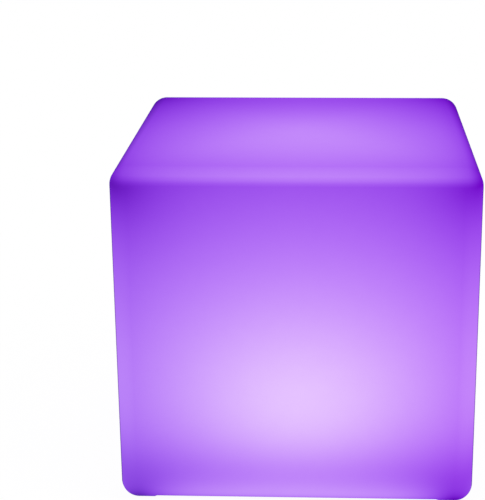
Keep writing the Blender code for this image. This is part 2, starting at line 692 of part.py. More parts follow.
def housing():
    """The upturned can over the battery and boards, with screw posts inside and a neck for the dome."""
    neck_z = HOUSING_TOP - HOUSING_NECK_HEIGHT
    neck_bore = NECK_RADIUS - HOUSING_WALL
    can = turned(
        "lamp_housing",
        [
            (0.0, HOUSING_TOP),
            (NECK_RADIUS, HOUSING_TOP),
            (NECK_RADIUS, neck_z),
            (HOUSING_RADIUS, neck_z),
            (HOUSING_RADIUS, HOUSING_BOTTOM),
            (HOUSING_BORE_RADIUS, HOUSING_BOTTOM),
            (HOUSING_BORE_RADIUS, neck_z - HOUSING_WALL),
            (neck_bore, neck_z),
            (neck_bore, CEILING_Z),
            (0.0, CEILING_Z),
        ],
        LARGE_ROUND,
    )
    keep(can, WHITE_ABS)
    posts = [
        (x, y, HOUSING_BOTTOM, neck_z - FUSE_OVERLAP, SMALL_BOSS_RADIUS)
        for x, y in circle_places(HOUSING_POST_COUNT, HOUSING_POST_CIRCLE)
    ]
    boss_bottom = CEILING_Z - CEILING_BOSS_DEPTH
    boss_top = CEILING_Z + FUSE_OVERLAP
    hangers = [(x, y, boss_bottom, boss_top, SMALL_BOSS_RADIUS) for x, y in light_screw_places()]
    join(can, as_cutter(rods("keep_housing_posts", posts + hangers, SMALL_ROUND)), "UNION")
    small = SMALL_SCREW_RADIUS + FIT_GAP
    bottom = HOUSING_BOTTOM - CUT_OVERRUN
    pilot_top = PLATE_BOTTOM + HOUSING_SCREW_LENGTH + COMPONENT_GAP
    holes = [
        (x, y, bottom, pilot_top, small) for x, y in circle_places(HOUSING_POST_COUNT, HOUSING_POST_CIRCLE)
    ]
    top = HOUSING_TOP + CUT_OVERRUN
    low = CEILING_Z - CEILING_BOSS_DEPTH - CUT_OVERRUN
    holes += [(x, y, low, top, small) for x, y in light_screw_places()]
    holes.append((BOARD_X, LED_LEAD_Y, CEILING_Z - CUT_OVERRUN, top, LEAD_RADIUS + FIT_GAP))
    join(can, as_cutter(rods("cutter_housing_holes", holes, SMALL_ROUND)), "DIFFERENCE")


def light_screw_places():
    """Where the two screws of the light board go."""
    return [
        (LIGHT_SCREW_CIRCLE * math.cos(angle), LIGHT_SCREW_CIRCLE * math.sin(angle))
        for angle in LIGHT_SCREW_ANGLES
    ]


def light_board():
    """The heat spreader, the board on it, its ring of LEDs and the infrared receiver."""
    bottom = HOUSING_TOP + FIT_GAP
    spreader_radius = NECK_RADIUS - SPREADER_INSET
    spreader = rods("heat_spreader", [(0.0, 0.0, bottom, SPREADER_TOP, spreader_radius)], LARGE_ROUND)
    keep(spreader, ALUMINIUM)
    board = rods(
        "led_board", [(0.0, 0.0, LIGHT_BOARD_BOTTOM, LIGHT_BOARD_TOP, LIGHT_BOARD_RADIUS)], LARGE_ROUND
    )
    keep(board, WHITE_BOARD)
    small = SMALL_SCREW_RADIUS + FIT_GAP
    low = bottom - CUT_OVERRUN
    high = LIGHT_BOARD_TOP + CUT_OVERRUN
    screw_holes = [(x, y, low, high, small) for x, y in light_screw_places()]
    lead_hole = (BOARD_X, LED_LEAD_Y, low, high, LEAD_RADIUS + FIT_GAP)
    join(spreader, as_cutter(rods("cutter_spreader", screw_holes + [lead_hole], SMALL_ROUND)), "DIFFERENCE")
    join(board, as_cutter(rods("cutter_led_board", screw_holes, SMALL_ROUND)), "DIFFERENCE")

    led_z = LIGHT_BOARD_TOP + SOLDER_GAP + LED_HEIGHT / 2
    ring = circle_places(LED_COUNT, LIGHT_BOARD_RADIUS * LED_RING_SHARE, math.pi / LED_COUNT)
    for number, (x, y) in enumerate(ring, 1):
        package = block(f"led_{number}", (LED_SIDE, LED_SIDE, LED_HEIGHT), LED_EDGE)
        led = keep(package, LED_PACKAGE, x, y, led_z)
        led.rotation_euler = (0.0, 0.0, math.atan2(y, x))
    receiver = block("infrared_receiver", (RECEIVER_LENGTH, RECEIVER_WIDTH, RECEIVER_HEIGHT), LED_EDGE)
    keep(receiver, BLACK_PLASTIC, z=LIGHT_BOARD_TOP + SOLDER_GAP + RECEIVER_HEIGHT / 2)


def dome():
    """The frosted cover over the LEDs, whose skirt fits round the housing's neck."""
    spring_z = HOUSING_TOP + DOME_SPRING_HEIGHT
    skirt_z = HOUSING_TOP - HOUSING_NECK_HEIGHT + FIT_GAP
    quarter = [math.pi / 2 * i / DOME_ARC_STEPS for i in range(DOME_ARC_STEPS + 1)]
    bore = HOUSING_RADIUS - DOME_WALL
    outside = [(HOUSING_RADIUS * math.sin(a), spring_z + DOME_RISE * math.cos(a)) for a in quarter]
    inside = [(bore * math.sin(a), spring_z + (DOME_RISE - DOME_WALL) * math.cos(a)) for a in quarter]
    outside[0] = (0.0, spring_z + DOME_RISE)
    inside[0] = (0.0, spring_z + DOME_RISE - DOME_WALL)
    profile = outside + [(HOUSING_RADIUS, skirt_z), (bore, skirt_z)] + inside[::-1]
    keep(turned("diffuser_dome", profile, LARGE_ROUND), FROSTED_COVER)


def battery():
    """Two cells joined by nickel strips, with the protection board on their front end."""
    half = CELL_LENGTH / 2
    can_end = half - CELL_NUB_HEIGHT
    groove_top = can_end - CELL_GROOVE_INSET
    groove_mid = groove_top - CELL_GROOVE_WIDTH / 2
    profile = [
        (0.0, half),
        (CELL_NUB_RADIUS, half),
        (CELL_NUB_RADIUS, can_end),
        (CELL_RADIUS, can_end),
        (CELL_RADIUS, groove_top),
        (CELL_RADIUS - CELL_GROOVE_DEPTH, groove_mid),
        (CELL_RADIUS, groove_top - CELL_GROOVE_WIDTH),
        (CELL_RADIUS, -half),
        (0.0, -half),
    ]
    for number, x in enumerate(CELL_XS, 1):
        cell = keep(turned(f"battery_cell_{number}", profile, MEDIUM_ROUND), CELL_SLEEVE, x, 0.0, CELL_Z)
        cell.rotation_euler = (-math.pi / 2, 0.0, 0.0)
    strip_length = CELL_XS[1] - CELL_XS[0] + 2 * CELL_NUB_RADIUS
    for name, side in (("nickel_strip_front", -1), ("nickel_strip_back", 1)):
        strip = block(name, (strip_length, STRIP_THICKNESS, STRIP_HEIGHT))
        keep(strip, NICKEL, PACK_X, side * (half + SOLDER_GAP + STRIP_THICKNESS / 2), CELL_Z)
    size = (PACK_WIDTH * PROTECTION_WIDTH_SHARE, PROTECTION_THICKNESS, PROTECTION_HEIGHT)
    board = block("protection_board", size)
    keep(board, GREEN_BOARD, PACK_X, -(PROTECTION_FRONT_Y - PROTECTION_THICKNESS / 2), CELL_Z)


def bracket_path():
    """The underside of the battery bracket as (x, z), from its left foot over both cells to its right."""
    reach = CELL_RADIUS + FIT_GAP
    foot_z = BRACKET_BOSS_TOP + FIT_GAP
    foot = BRACKET_REACH + BRACKET_FOOT_HALF
    quarter = [math.pi / 2 * i / BRACKET_ARC_STEPS for i in range(BRACKET_ARC_STEPS + 1)]
    left = [(CELL_XS[0] - reach * math.cos(a), CELL_Z + reach * math.sin(a)) for a in quarter]
    right = [(CELL_XS[1] + reach * math.cos(a), CELL_Z + reach * math.sin(a)) for a in reversed(quarter)]
    start = [(PACK_LEFT - foot, foot_z), (PACK_LEFT - FIT_GAP, foot_z)]
    finish = [(PACK_RIGHT + FIT_GAP, foot_z), (PACK_RIGHT + foot, foot_z)]
    return start + left + right + finish


def battery_bracket():
    """The sprung strap that holds the cells down in their cradles."""
    bm = bmesh.new()
    sides = (-BRACKET_WIDTH / 2, BRACKET_WIDTH / 2)
    rows = [[bm.verts.new((x, y, z)) for x, z in bracket_path()] for y in sides]
    for i in range(len(rows[0]) - 1):
        bm.faces.new((rows[0][i], rows[0][i + 1], rows[1][i + 1], rows[1][i]))
    strap = keep(mesh_object("battery_bracket", bm), STAINLESS)
    thick = strap.modifiers.new("thickness", "SOLIDIFY")
    thick.thickness = BRACKET_THICKNESS
    thick.offset = 1.0
    thick.use_even_offset = True
    bottom = BRACKET_BOSS_TOP - CUT_OVERRUN
    top = BRACKET_BOSS_TOP + FIT_GAP + BRACKET_THICKNESS + CUT_OVERRUN
    radius = SMALL_SCREW_RADIUS + FIT_GAP
    places = [(x, y, bottom, top, radius) for x, y in bracket_boss_places()]
    join(strap, as_cutter(rods("cutter_bracket_holes", places, SMALL_ROUND)), "DIFFERENCE")


def control_board():
    """The board that drives the LEDs and charges the battery, with its largest chip."""
    board = block("control_board", (BOARD_WIDTH, BOARD_LENGTH, BOARD_THICKNESS))
    keep(board, GREEN_BOARD, BOARD_X, 0.0, BOARD_BOTTOM + BOARD_THICKNESS / 2)
    bottom = BOARD_BOTTOM - CUT_OVERRUN
    top = BOARD_TOP + CUT_OVERRUN
    radius = SMALL_SCREW_RADIUS + FIT_GAP
    places = [(x, y, bottom, top, radius) for x, y in control_post_places()]
    join(board, as_cutter(rods("cutter_board_holes", places, SMALL_ROUND)), "DIFFERENCE")
    chip = block("driver_chip", (CHIP_WIDTH, CHIP_LENGTH, CHIP_HEIGHT), LED_EDGE)
    chip_y = -BOARD_HALF * CHIP_PLACE_SHARE
    keep(chip, BLACK_PLASTIC, BOARD_X, chip_y, BOARD_TOP + SOLDER_GAP + CHIP_HEIGHT / 2)


def hex_nut(name, width, thickness, bore, x, y):
    """A nut on the top of the base plate."""
    bm = bmesh.new()
    radius = width / math.sqrt(3)
    bmesh.ops.create_cone(bm, cap_ends=True, segments=6, radius1=radius, radius2=radius, depth=thickness)
    bottom = PLATE_TOP + FIT_GAP
    nut = keep(mesh_object(name, bm), STAINLESS, x, y, bottom + thickness / 2)
    top = bottom + thickness + CUT_OVERRUN
    hole = rods("cutter_" + name, [(x, y, PLATE_TOP - CUT_OVERRUN, top, bore)], MEDIUM_ROUND)
    join(nut, as_cutter(hole), "DIFFERENCE")


def switch():
    """The push switch: body, seal, nut, the button that slides up into it, and the button's spring. The
    button's collar rests on the inside of the bezel, which keeps it in."""
    body = turned(
        "switch_body",
        [
            (0.0, SWITCH_TOP),
            (SWITCH_BARREL_RADIUS, SWITCH_TOP),
            (SWITCH_BARREL_RADIUS, BEZEL_TOP),
            (SWITCH_BEZEL_RADIUS, BEZEL_TOP),
            (SWITCH_BEZEL_RADIUS, BEZEL_BOTTOM + BUTTON_EDGE),
            (SWITCH_BEZEL_RADIUS - BUTTON_EDGE, BEZEL_BOTTOM),
            (BUTTON_RADIUS + FIT_GAP, BEZEL_BOTTOM),
            (BUTTON_RADIUS + FIT_GAP, BEZEL_TOP),
            (SWITCH_CHAMBER_RADIUS, BEZEL_TOP),
            (SWITCH_CHAMBER_RADIUS, SWITCH_BORE_TOP),
            (0.0, SWITCH_BORE_TOP),
        ],
        MEDIUM_ROUND,
    )
    keep(body, GREY_PLASTIC, BOARD_X, SWITCH_Y)
    seal = flat_ring(
        "switch_seal",
        SWITCH_BARREL_RADIUS + FIT_GAP,
        SWITCH_BEZEL_RADIUS - FIT_GAP,
        SEAL_BOTTOM,
        SEAL_TOP,
        MEDIUM_ROUND,
    )
    keep(seal, BLACK_RUBBER, BOARD_X, SWITCH_Y)
    bore = SWITCH_BARREL_RADIUS + FIT_GAP
    hex_nut("switch_nut", SWITCH_NUT_WIDTH, SWITCH_NUT_THICKNESS, bore, BOARD_X, SWITCH_Y)

    low = BEZEL_BOTTOM - BUTTON_PROUD
    collar_bottom = BEZEL_TOP + FIT_GAP
    stem_top = SWITCH_BORE_TOP - BUTTON_TRAVEL - COMPONENT_GAP
    button = turned(
        "switch_button",
        [
            (0.0, stem_top),
            (BUTTON_STEM_RADIUS, stem_top),
            (BUTTON_STEM_RADIUS, BUTTON_COLLAR_TOP),
            (BUTTON_COLLAR_RADIUS, BUTTON_COLLAR_TOP),
            (BUTTON_COLLAR_RADIUS, collar_bottom),
            (BUTTON_RADIUS, collar_bottom),
            (BUTTON_RADIUS, low + BUTTON_EDGE),
            (BUTTON_RADIUS - BUTTON_EDGE, low),
            (0.0, low),
        ],
        MEDIUM_ROUND,
    )
    keep(button, BLACK_PLASTIC, BOARD_X, SWITCH_Y)

    bottom = BUTTON_COLLAR_TOP + FIT_GAP + SPRING_WIRE_RADIUS
    rise = SWITCH_BORE_TOP - FIT_GAP - SPRING_WIRE_RADIUS - bottom
    count = SPRING_TURNS * SPRING_STEPS
    coil = []
    for i in range(count + 1):
        angle = math.tau * i / SPRING_STEPS
        x = BOARD_X + SPRING_RADIUS * math.cos(angle)
        y = SWITCH_Y + SPRING_RADIUS * math.sin(angle)
        coil.append((x, y, bottom + rise * i / count))
    tube("switch_spring", coil, SPRING_WIRE_RADIUS, STAINLESS)


def charging_socket():
    """The socket, its centre pin, seal and nut."""
    body = turned(
        "charging_socket",
        [
            (0.0, JACK_TOP),
            (JACK_BARREL_RADIUS, JACK_TOP),
            (JACK_BARREL_RADIUS, JACK_FLANGE_TOP),
            (JACK_FLANGE_RADIUS, JACK_FLANGE_TOP),
            (JACK_FLANGE_RADIUS, JACK_FRONT),
            (JACK_BORE_RADIUS, JACK_FRONT),
            (JACK_BORE_RADIUS, JACK_BORE_TOP),
            (0.0, JACK_BORE_TOP),
        ],
        MEDIUM_ROUND,
    )
    keep(body, BLACK_PLASTIC, BOARD_X, JACK_Y)
    tip = JACK_FRONT + JACK_PIN_INSET
    pin = turned(
        "socket_pin",
        [
            (0.0, JACK_BORE_TOP - FIT_GAP),
            (JACK_PIN_RADIUS, JACK_BORE_TOP - FIT_GAP),
            (JACK_PIN_RADIUS, tip + JACK_PIN_RADIUS / 2),
            (JACK_PIN_RADIUS / 2, tip),
            (0.0, tip),
        ],
        SMALL_ROUND,
    )
    keep(pin, BRASS, BOARD_X, JACK_Y)
    seal = flat_ring(
        "socket_seal",
        JACK_BARREL_RADIUS + FIT_GAP,
        JACK_FLANGE_RADIUS - FIT_GAP,
        SEAL_BOTTOM,
        SEAL_TOP,
        MEDIUM_ROUND,
    )
    keep(seal, BLACK_RUBBER, BOARD_X, JACK_Y)
    bore = JACK_BARREL_RADIUS + FIT_GAP
    hex_nut("socket_nut", JACK_NUT_WIDTH, JACK_NUT_THICKNESS, bore, BOARD_X, JACK_Y)


def socket_cap():
    """The rubber cap, which swings down about the pivot line at the end of its arm, and its anchor."""
    hinge = bpy.data.objects.new("socket_cap_hinge", None)
    hinge.location = (PIVOT_X, JACK_Y, PIVOT_Z)
    PARTS.objects.link(hinge)

    plug_radius = JACK_BORE_RADIUS - CAP_PLUG_CLEARANCE
    plug_bore = plug_radius - CAP_PLUG_WALL
    half = CAP_THICKNESS / 2
    plug_top = half + CAP_PLUG_LENGTH
    cap = turned(
        "socket_cap",
        [
            (0.0, half),
            (plug_bore, half),
            (plug_bore, plug_top),
            (plug_radius - FIT_GAP, plug_top),
            (plug_radius, half + FIT_GAP),
            (plug_radius, half),
            (CAP_RADIUS, half),
            (CAP_RADIUS, -half),
            (0.0, -half),
        ],
        MEDIUM_ROUND,
    )
    keep(cap, BLACK_RUBBER, BOARD_X - PIVOT_X)
    cap.parent = hinge

    rounded = CAP_ARM_THICKNESS / 2
    length = PIVOT_X + rounded - BOARD_X
    bm = bmesh.new()
    made = bmesh.ops.create_cube(bm, size=1.0)
    bmesh.ops.scale(bm, vec=(length, CAP_ARM_WIDTH, CAP_ARM_THICKNESS), verts=made["verts"])
    tip = [e for e in bm.edges if all(v.co.x > 0.0 for v in e.verts) and e.verts[0].co.z == e.verts[1].co.z]
    bmesh.ops.bevel(bm, geom=tip, offset=rounded, segments=4, profile=0.5, affect="EDGES")
    arm = as_cutter(mesh_object("keep_cap_arm", bm), BOARD_X + length / 2, JACK_Y, PIVOT_Z)
    join(cap, arm, "UNION")
    tab = block("keep_cap_tab", (CAP_RADIUS + CAP_TAB_LENGTH, CAP_ARM_WIDTH, CAP_ARM_THICKNESS))
    tab_x = BOARD_X - (CAP_RADIUS + CAP_TAB_LENGTH) / 2
    join(cap, as_cutter(tab, tab_x, JACK_Y, PIVOT_Z), "UNION")

    barb_bottom = PLATE_TOP + FIT_GAP
    barb_top = barb_bottom + ANCHOR_BARB_HEIGHT
    anchor = turned(
        "cap_anchor",
        [
            (0.0, barb_top),
            (ANCHOR_SHANK_RADIUS, barb_top),
            (ANCHOR_BARB_RADIUS, barb_bottom),
            (ANCHOR_SHANK_RADIUS, barb_bottom),
            (ANCHOR_SHANK_RADIUS, SEAL_TOP),
            (ANCHOR_HEAD_RADIUS, SEAL_TOP),
            (ANCHOR_HEAD_RADIUS, CAP_BOTTOM),
            (0.0, CAP_BOTTOM),
        ],
        SMALL_ROUND,
    )
    keep(anchor, BLACK_RUBBER, ANCHOR_X, JACK_Y)


def leads():
    """The leads inside the lamp unit, each one soldered at both ends."""
    below = BOARD_BOTTOM - FIT_GAP
    for name, y, start in (("switch_lead", SWITCH_Y, SWITCH_TOP), ("socket_lead", JACK_Y, JACK_TOP)):
        tube(name, [(BOARD_X, y, start + FIT_GAP), (BOARD_X, y, below)], LEAD_RADIUS, CABLE_SHEATH)
    above = BOARD_TOP + FIT_GAP
    top = LIGHT_BOARD_BOTTOM - FIT_GAP
    tube("led_lead", [(BOARD_X, LED_LEAD_Y, above), (BOARD_X, LED_LEAD_Y, top)], LEAD_RADIUS, CABLE_SHEATH)

    forward = Vector((0.0, -1.0, 0.0))
    upward = Vector((0.0, 0.0, 1.0))
    first = Vector((PACK_X + PACK_WIDTH * BATTERY_LEAD_START_SHARE, -PROTECTION_FRONT_Y - FIT_GAP, CELL_Z))
    last_y = -POST_Y + SMALL_BOSS_RADIUS + COMPONENT_GAP + LEAD_RADIUS
    last = Vector((BOARD_X - BOARD_WIDTH / 4, last_y, above))
    start = first + forward * LEAD_RADIUS
    end = last + upward * LEAD_RADIUS
    out = start + forward * BATTERY_LEAD_SWING
    down = end + upward * BATTERY_LEAD_SWING
    route = [first, *interpolate_bezier(start, out, down, end, BATTERY_LEAD_STEPS), last]
    tube("battery_lead", route, LEAD_RADIUS, CABLE_SHEATH)


def screws():
    """Every screw of the lamp unit."""
    small = (SMALL_SCREW_RADIUS, SMALL_SCREW_HEAD_RADIUS, SMALL_SCREW_HEAD_HEIGHT)
    large = (FLANGE_SCREW_RADIUS, FLANGE_SCREW_HEAD_RADIUS, FLANGE_SCREW_HEAD_HEIGHT)
    below = PLATE_BOTTOM - FIT_GAP
    flange = circle_places(FLANGE_SCREW_COUNT, FLANGE_SCREW_CIRCLE)
    screw_set("flange_screw", flange, below, *large, FLANGE_SCREW_LENGTH, head_down=True)
    posts = circle_places(HOUSING_POST_COUNT, HOUSING_POST_CIRCLE)
    screw_set("housing_screw", posts, below, *small, HOUSING_SCREW_LENGTH, head_down=True)
    light_top = LIGHT_BOARD_TOP + FIT_GAP
    screw_set("light_board_screw", light_screw_places(), light_top, *small, BOARD_SCREW_LENGTH)
    board_top = BOARD_TOP + FIT_GAP
    screw_set("control_board_screw", control_post_places(), board_top, *small, BOARD_SCREW_LENGTH)
    bracket_top = BRACKET_BOSS_TOP + FIT_GAP + BRACKET_THICKNESS + FIT_GAP
    screw_set("bracket_screw", bracket_boss_places(), bracket_top, *small, BOARD_SCREW_LENGTH)


def shade_smooth():
    """Gives every part its finished mesh, smooth over its curves and sharp at its corners."""
    bpy.context.view_layer.update()
    graph = bpy.context.evaluated_depsgraph_get()
    done = {}
    for obj in PARTS.objects:
        if obj.type != "MESH":
            continue
        if obj.modifiers:
            done[obj] = bpy.data.meshes.new_from_object(obj.evaluated_get(graph))
    for obj, mesh in done.items():
        mesh.name = obj.name
        obj.modifiers.clear()
        obj.data = mesh
    for mesh in {obj.data for obj in PARTS.objects if obj.type == "MESH"}:
        mesh.shade_smooth()
        mesh.set_sharp_from_angle(angle=SMOOTH_ANGLE)


def build():
    """Makes every part of the stool."""
    shell()
    inserts()
    gasket()
    base_plate()
    housing()
    light_board()
    dome()
    battery()
    battery_bracket()
    control_board()
    switch()
    charging_socket()
    socket_cap()
    leads()
    screws()
    shade_smooth()


build()
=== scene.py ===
"""The finished look of the light-up cube stool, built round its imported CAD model.

Metres, +Z up, in the CAD model's own frame: the origin is on the floor under the middle of the stool,
and -Y is the front. Most places and outer sizes are read from the CAD model's nodes, and most of the
other sizes that a piece shares with it carry the same names as there.
"""

import math
from functools import cache

import bmesh
import bpy
from mathutils import Matrix, Vector
from mathutils.geometry import interpolate_bezier


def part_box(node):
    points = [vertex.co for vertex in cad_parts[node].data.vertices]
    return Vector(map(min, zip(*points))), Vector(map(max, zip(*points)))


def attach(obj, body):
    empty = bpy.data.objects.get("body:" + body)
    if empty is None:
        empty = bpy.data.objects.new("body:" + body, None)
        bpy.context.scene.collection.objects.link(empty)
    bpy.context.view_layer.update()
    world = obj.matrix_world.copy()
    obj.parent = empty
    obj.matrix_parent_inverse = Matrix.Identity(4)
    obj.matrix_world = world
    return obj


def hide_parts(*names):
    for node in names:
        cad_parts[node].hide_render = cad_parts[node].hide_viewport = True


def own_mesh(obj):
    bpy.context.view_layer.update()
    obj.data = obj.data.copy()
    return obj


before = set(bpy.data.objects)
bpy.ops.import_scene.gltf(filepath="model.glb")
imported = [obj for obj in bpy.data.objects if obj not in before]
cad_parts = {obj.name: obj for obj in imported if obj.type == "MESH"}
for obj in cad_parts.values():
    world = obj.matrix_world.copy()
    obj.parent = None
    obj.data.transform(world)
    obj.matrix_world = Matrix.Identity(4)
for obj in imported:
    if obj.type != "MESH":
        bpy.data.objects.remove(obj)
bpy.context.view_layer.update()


def ends_of(node, way):
    """Where a CAD node begins and ends along x, y or z, to the nearest micron."""
    return [round(getattr(corner, way), 6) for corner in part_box(node)]


def middle_of(node, way):
    """The middle of a CAD node along x, y or z, to the nearest micron."""
    low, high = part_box(node)
    return round((getattr(low, way) + getattr(high, way)) / 2, 6)


def circle_of(node):
    """How far a CAD node stands from the upright axis, to the nearest micron."""
    low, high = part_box(node)
    return round(math.hypot(low.x + high.x, low.y + high.y) / 2, 6)


# Gaps and overlaps
FIT_GAP = 0.0003
SOLDER_GAP = 0.0001
CUT_OVERRUN = 0.002
UNION_OVERLAP = 0.0006

# Shell
SHELL_SIDE = 2 * ends_of("cube_shell", "x")[1]
SHELL_HEIGHT = ends_of("cube_shell", "z")[1]
SHELL_EDGE_RADIUS = 0.0205
SHELL_WALL = 0.0035
FOOT_REACH = 0.038
FOOT_HEIGHT = 0.0012
FOOT_RAMP = 0.003

# Threaded inserts in the shell's bosses: two knurled bands with a groove between
INSERT_RADIUS = 0.003
INSERT_LENGTH = 0.008
INSERT_BOSS_WALL = 0.0026
INSERT_BOSS_RADIUS = INSERT_RADIUS + FIT_GAP + INSERT_BOSS_WALL
INSERT_BOSS_CAP = 0.0025
INSERT_GROOVE_DEPTH = 0.0004
INSERT_GROOVE_HALF = 0.0004
KNURL_COUNT = 30
KNURL_SIZE = (0.0003, 0.00026, 0.0026)
KNURL_HEIGHT = 0.0002
KNURL_OFFSET = 0.0023
KNURL_EASE = 0.00008

# Screws
FLANGE_SCREW_COUNT = 6
FLANGE_SCREW_CIRCLE = circle_of("flange_screw_1")
FLANGE_SCREW_RADIUS = 0.002
FLANGE_SCREW_HEAD_RADIUS = 0.004
FLANGE_SCREW_HEAD_HEIGHT = 0.0026
FLANGE_SCREW_LENGTH = 0.012
SMALL_SCREW_RADIUS = 0.0015
SMALL_SCREW_HEAD_RADIUS = 0.00275
SMALL_SCREW_HEAD_HEIGHT = 0.0018
HOUSING_SCREW_LENGTH = 0.010
BOARD_SCREW_LENGTH = 0.006
PILOT_ROOM = 0.001
FLANGE_HOLE_RADIUS = FLANGE_SCREW_RADIUS + FIT_GAP
SMALL_HOLE_RADIUS = SMALL_SCREW_RADIUS + FIT_GAP
SMALL_BOSS_WALL = 0.0014
SMALL_BOSS_RADIUS = SMALL_HOLE_RADIUS + SMALL_BOSS_WALL

# Housing, and the neck that the dome's skirt goes over
HOUSING_BOTTOM, HOUSING_TOP = ends_of("lamp_housing", "z")
HOUSING_RADIUS = ends_of("lamp_housing", "x")[1]
HOUSING_WALL = 0.0022
HOUSING_BORE_RADIUS = HOUSING_RADIUS - HOUSING_WALL
HOUSING_POST_COUNT = 3
HOUSING_POST_CIRCLE = circle_of("housing_screw_1")
CEILING_Z = HOUSING_TOP - HOUSING_WALL
CEILING_BOSS_DEPTH = 0.005
DOME_SKIRT_Z, DOME_CROWN_Z = ends_of("diffuser_dome", "z")
DOME_WALL = 0.002
DOME_RISE = 0.022
DOME_SPRING_Z = DOME_CROWN_Z - DOME_RISE
NECK_Z = DOME_SKIRT_Z - FIT_GAP
NECK_RADIUS = HOUSING_RADIUS - DOME_WALL - FIT_GAP
FLUTE_COUNT = 48
FLUTE_RADIUS = 0.0007
FLUTE_OUT = 0.0003
FLUTE_ENDS = (0.0205, 0.0365)

# Base plate, gasket and seals, and the openings that they close
GASKET_BOTTOM, GASKET_TOP = ends_of("flange_gasket", "z")
GASKET_INSET = 0.001
BEAD_HEIGHT = 0.00025
BEAD_HALF = 0.0007
BEAD_INSET = 0.0018
SEAL_BOTTOM, SEAL_TOP = ends_of("switch_seal", "z")
SEAT_Z = GASKET_TOP + FIT_GAP
PLATE_TOP = GASKET_BOTTOM - FIT_GAP
PLATE_BOTTOM = SEAL_TOP + FIT_GAP
SCREW_SEAT_Z = PLATE_BOTTOM - FIT_GAP
FLANGE_RADIUS = ends_of("base_plate", "x")[1]
RECESS_MARGIN = 0.005
RECESS_RADIUS = FLANGE_RADIUS + RECESS_MARGIN
RECESS_FILLET = 0.002
RIM_WIDTH = 0.0025
RIM_DROP = 0.002
RING_BORE_RADIUS = HOUSING_RADIUS + FIT_GAP
RING_WALL = 0.002
RING_RADIUS = RING_BORE_RADIUS + RING_WALL
RING_HEIGHT = 0.004
OPENING_CLEARANCE = 0.0008
OPENING_RADIUS = RING_RADIUS + OPENING_CLEARANCE
PLATE_GROOVE_OUT = 0.0006
PLATE_GROOVE_RADIUS = RING_RADIUS + PLATE_GROOVE_OUT
PLATE_GROOVE_HALF = 0.0005
PLATE_SINK = 0.0004
PLATE_PAD_RADIUS = 0.0048
PLATE_RIB_COUNT = 12
PLATE_RIB_SIZE = (0.0088, 0.0011, 0.0011)
GUSSET_SIZE = (0.003, 0.0012, 0.009)
GUSSET_REACH = 0.0042

# Battery
CELL_XS = [middle_of(cell, "x") for cell in ("battery_cell_1", "battery_cell_2")]
CELL_Z = middle_of("battery_cell_1", "z")
CELL_RADIUS = 0.0092
CELL_LENGTH = 0.065
CELL_NUB_RADIUS = 0.003
CELL_NUB_HEIGHT = 0.0008
CELL_GROOVE_IN = 0.0038
CELL_GROOVE_DEPTH = 0.0005
CELL_GROOVE_HALF = 0.0008
CELL_SHOULDER = 0.0006
CELL_SHOULDER_DROP = 0.0007
SLEEVE_FILM = 0.00015
SLEEVE_CLEARANCE = 0.0001
SLEEVE_GROOVE_HALF = 0.0009
SLEEVE_TURN = 0.0004
SLEEVE_LAP = 0.002
SLEEVE_TAIL = 0.0022
PACK_X = sum(CELL_XS) / 2
PACK_WIDTH = CELL_XS[1] - CELL_XS[0] + 2 * CELL_RADIUS
CRADLE_HEIGHT = 0.006
CRADLE_THICKNESS = 0.002
CRADLE_PLACE_SHARE = 0.3
CRADLE_Y = CRADLE_PLACE_SHARE * CELL_LENGTH
PROTECTION_FRONT_Y = ends_of("protection_board", "y")[0]
PROTECTION_CHIP_SIZE = (0.0044, 0.0012, 0.0030)
PROTECTION_CHIP_XS = (-0.0085, -0.0025)
PROTECTION_CHIP_RISE = 0.0012
PROTECTION_LEG_SIZE = (0.0003, 0.0009, 0.0010)
PROTECTION_LEG_PITCH = 0.0011
PROTECTION_LEG_BACK = 0.0002
PROTECTION_LEG_DROP = 0.0006
BRACKET_BOSS_TOP = ends_of("battery_bracket", "z")[0] - FIT_GAP
BRACKET_THICKNESS = 0.0015
BRACKET_WIDTH = 0.010
BRACKET_REACH = BRACKET_THICKNESS + SMALL_SCREW_HEAD_RADIUS + 2 * FIT_GAP

# Control board, and what is soldered on it by its place from the board's middle
BOARD_BOTTOM, BOARD_TOP = ends_of("control_board", "z")
BOARD_X = middle_of("control_board", "x")
POST_Y = middle_of("control_board_screw_2", "y")
CHOKE_SIZE = (0.006, 0.006, 0.0032)
CHOKE_PLACE = (0.0085, 0.0008)
CHOKE_EASE = 0.0006
CHOKE_WELL_RADIUS = 0.0023
CHOKE_WELL_FLOOR = 0.0024
CHOKE_WELL_TOP = 0.005
FILTER_PLACE = (-0.0085, 0.0105)
FILTER_RADIUS = 0.003
FILTER_HEIGHT = 0.0066
FILTER_SLOPE = 0.0006
FILTER_PINCH = 0.0003
FILTER_PINCH_Z = 0.0009
SMALL_PART_SIZE = (0.0012, 0.002, 0.0008)

# Rows of small parts: the first one's place on the board, the step to the next, and how many
SMALL_PART_ROWS = (
    ((0.0095, -0.0170), (0.0, 0.0027), 5),
    ((-0.0095, -0.0090), (0.0, 0.0030), 5),
    ((0.0035, 0.0150), (0.0024, 0.0), 3),
)

# Driver chip's legs, the first of each row from the chip's front edge
CHIP_LEG_COUNT = 8
CHIP_LEG_START = 0.0008
CHIP_LEG_PITCH = 0.0012
CHIP_LEG_RISE = 0.0010
CHIP_LEG_REACH = 0.0015
CHIP_LEG_THICKNESS = 0.0002
CHIP_LEG_HALF_WIDTH = 0.0002

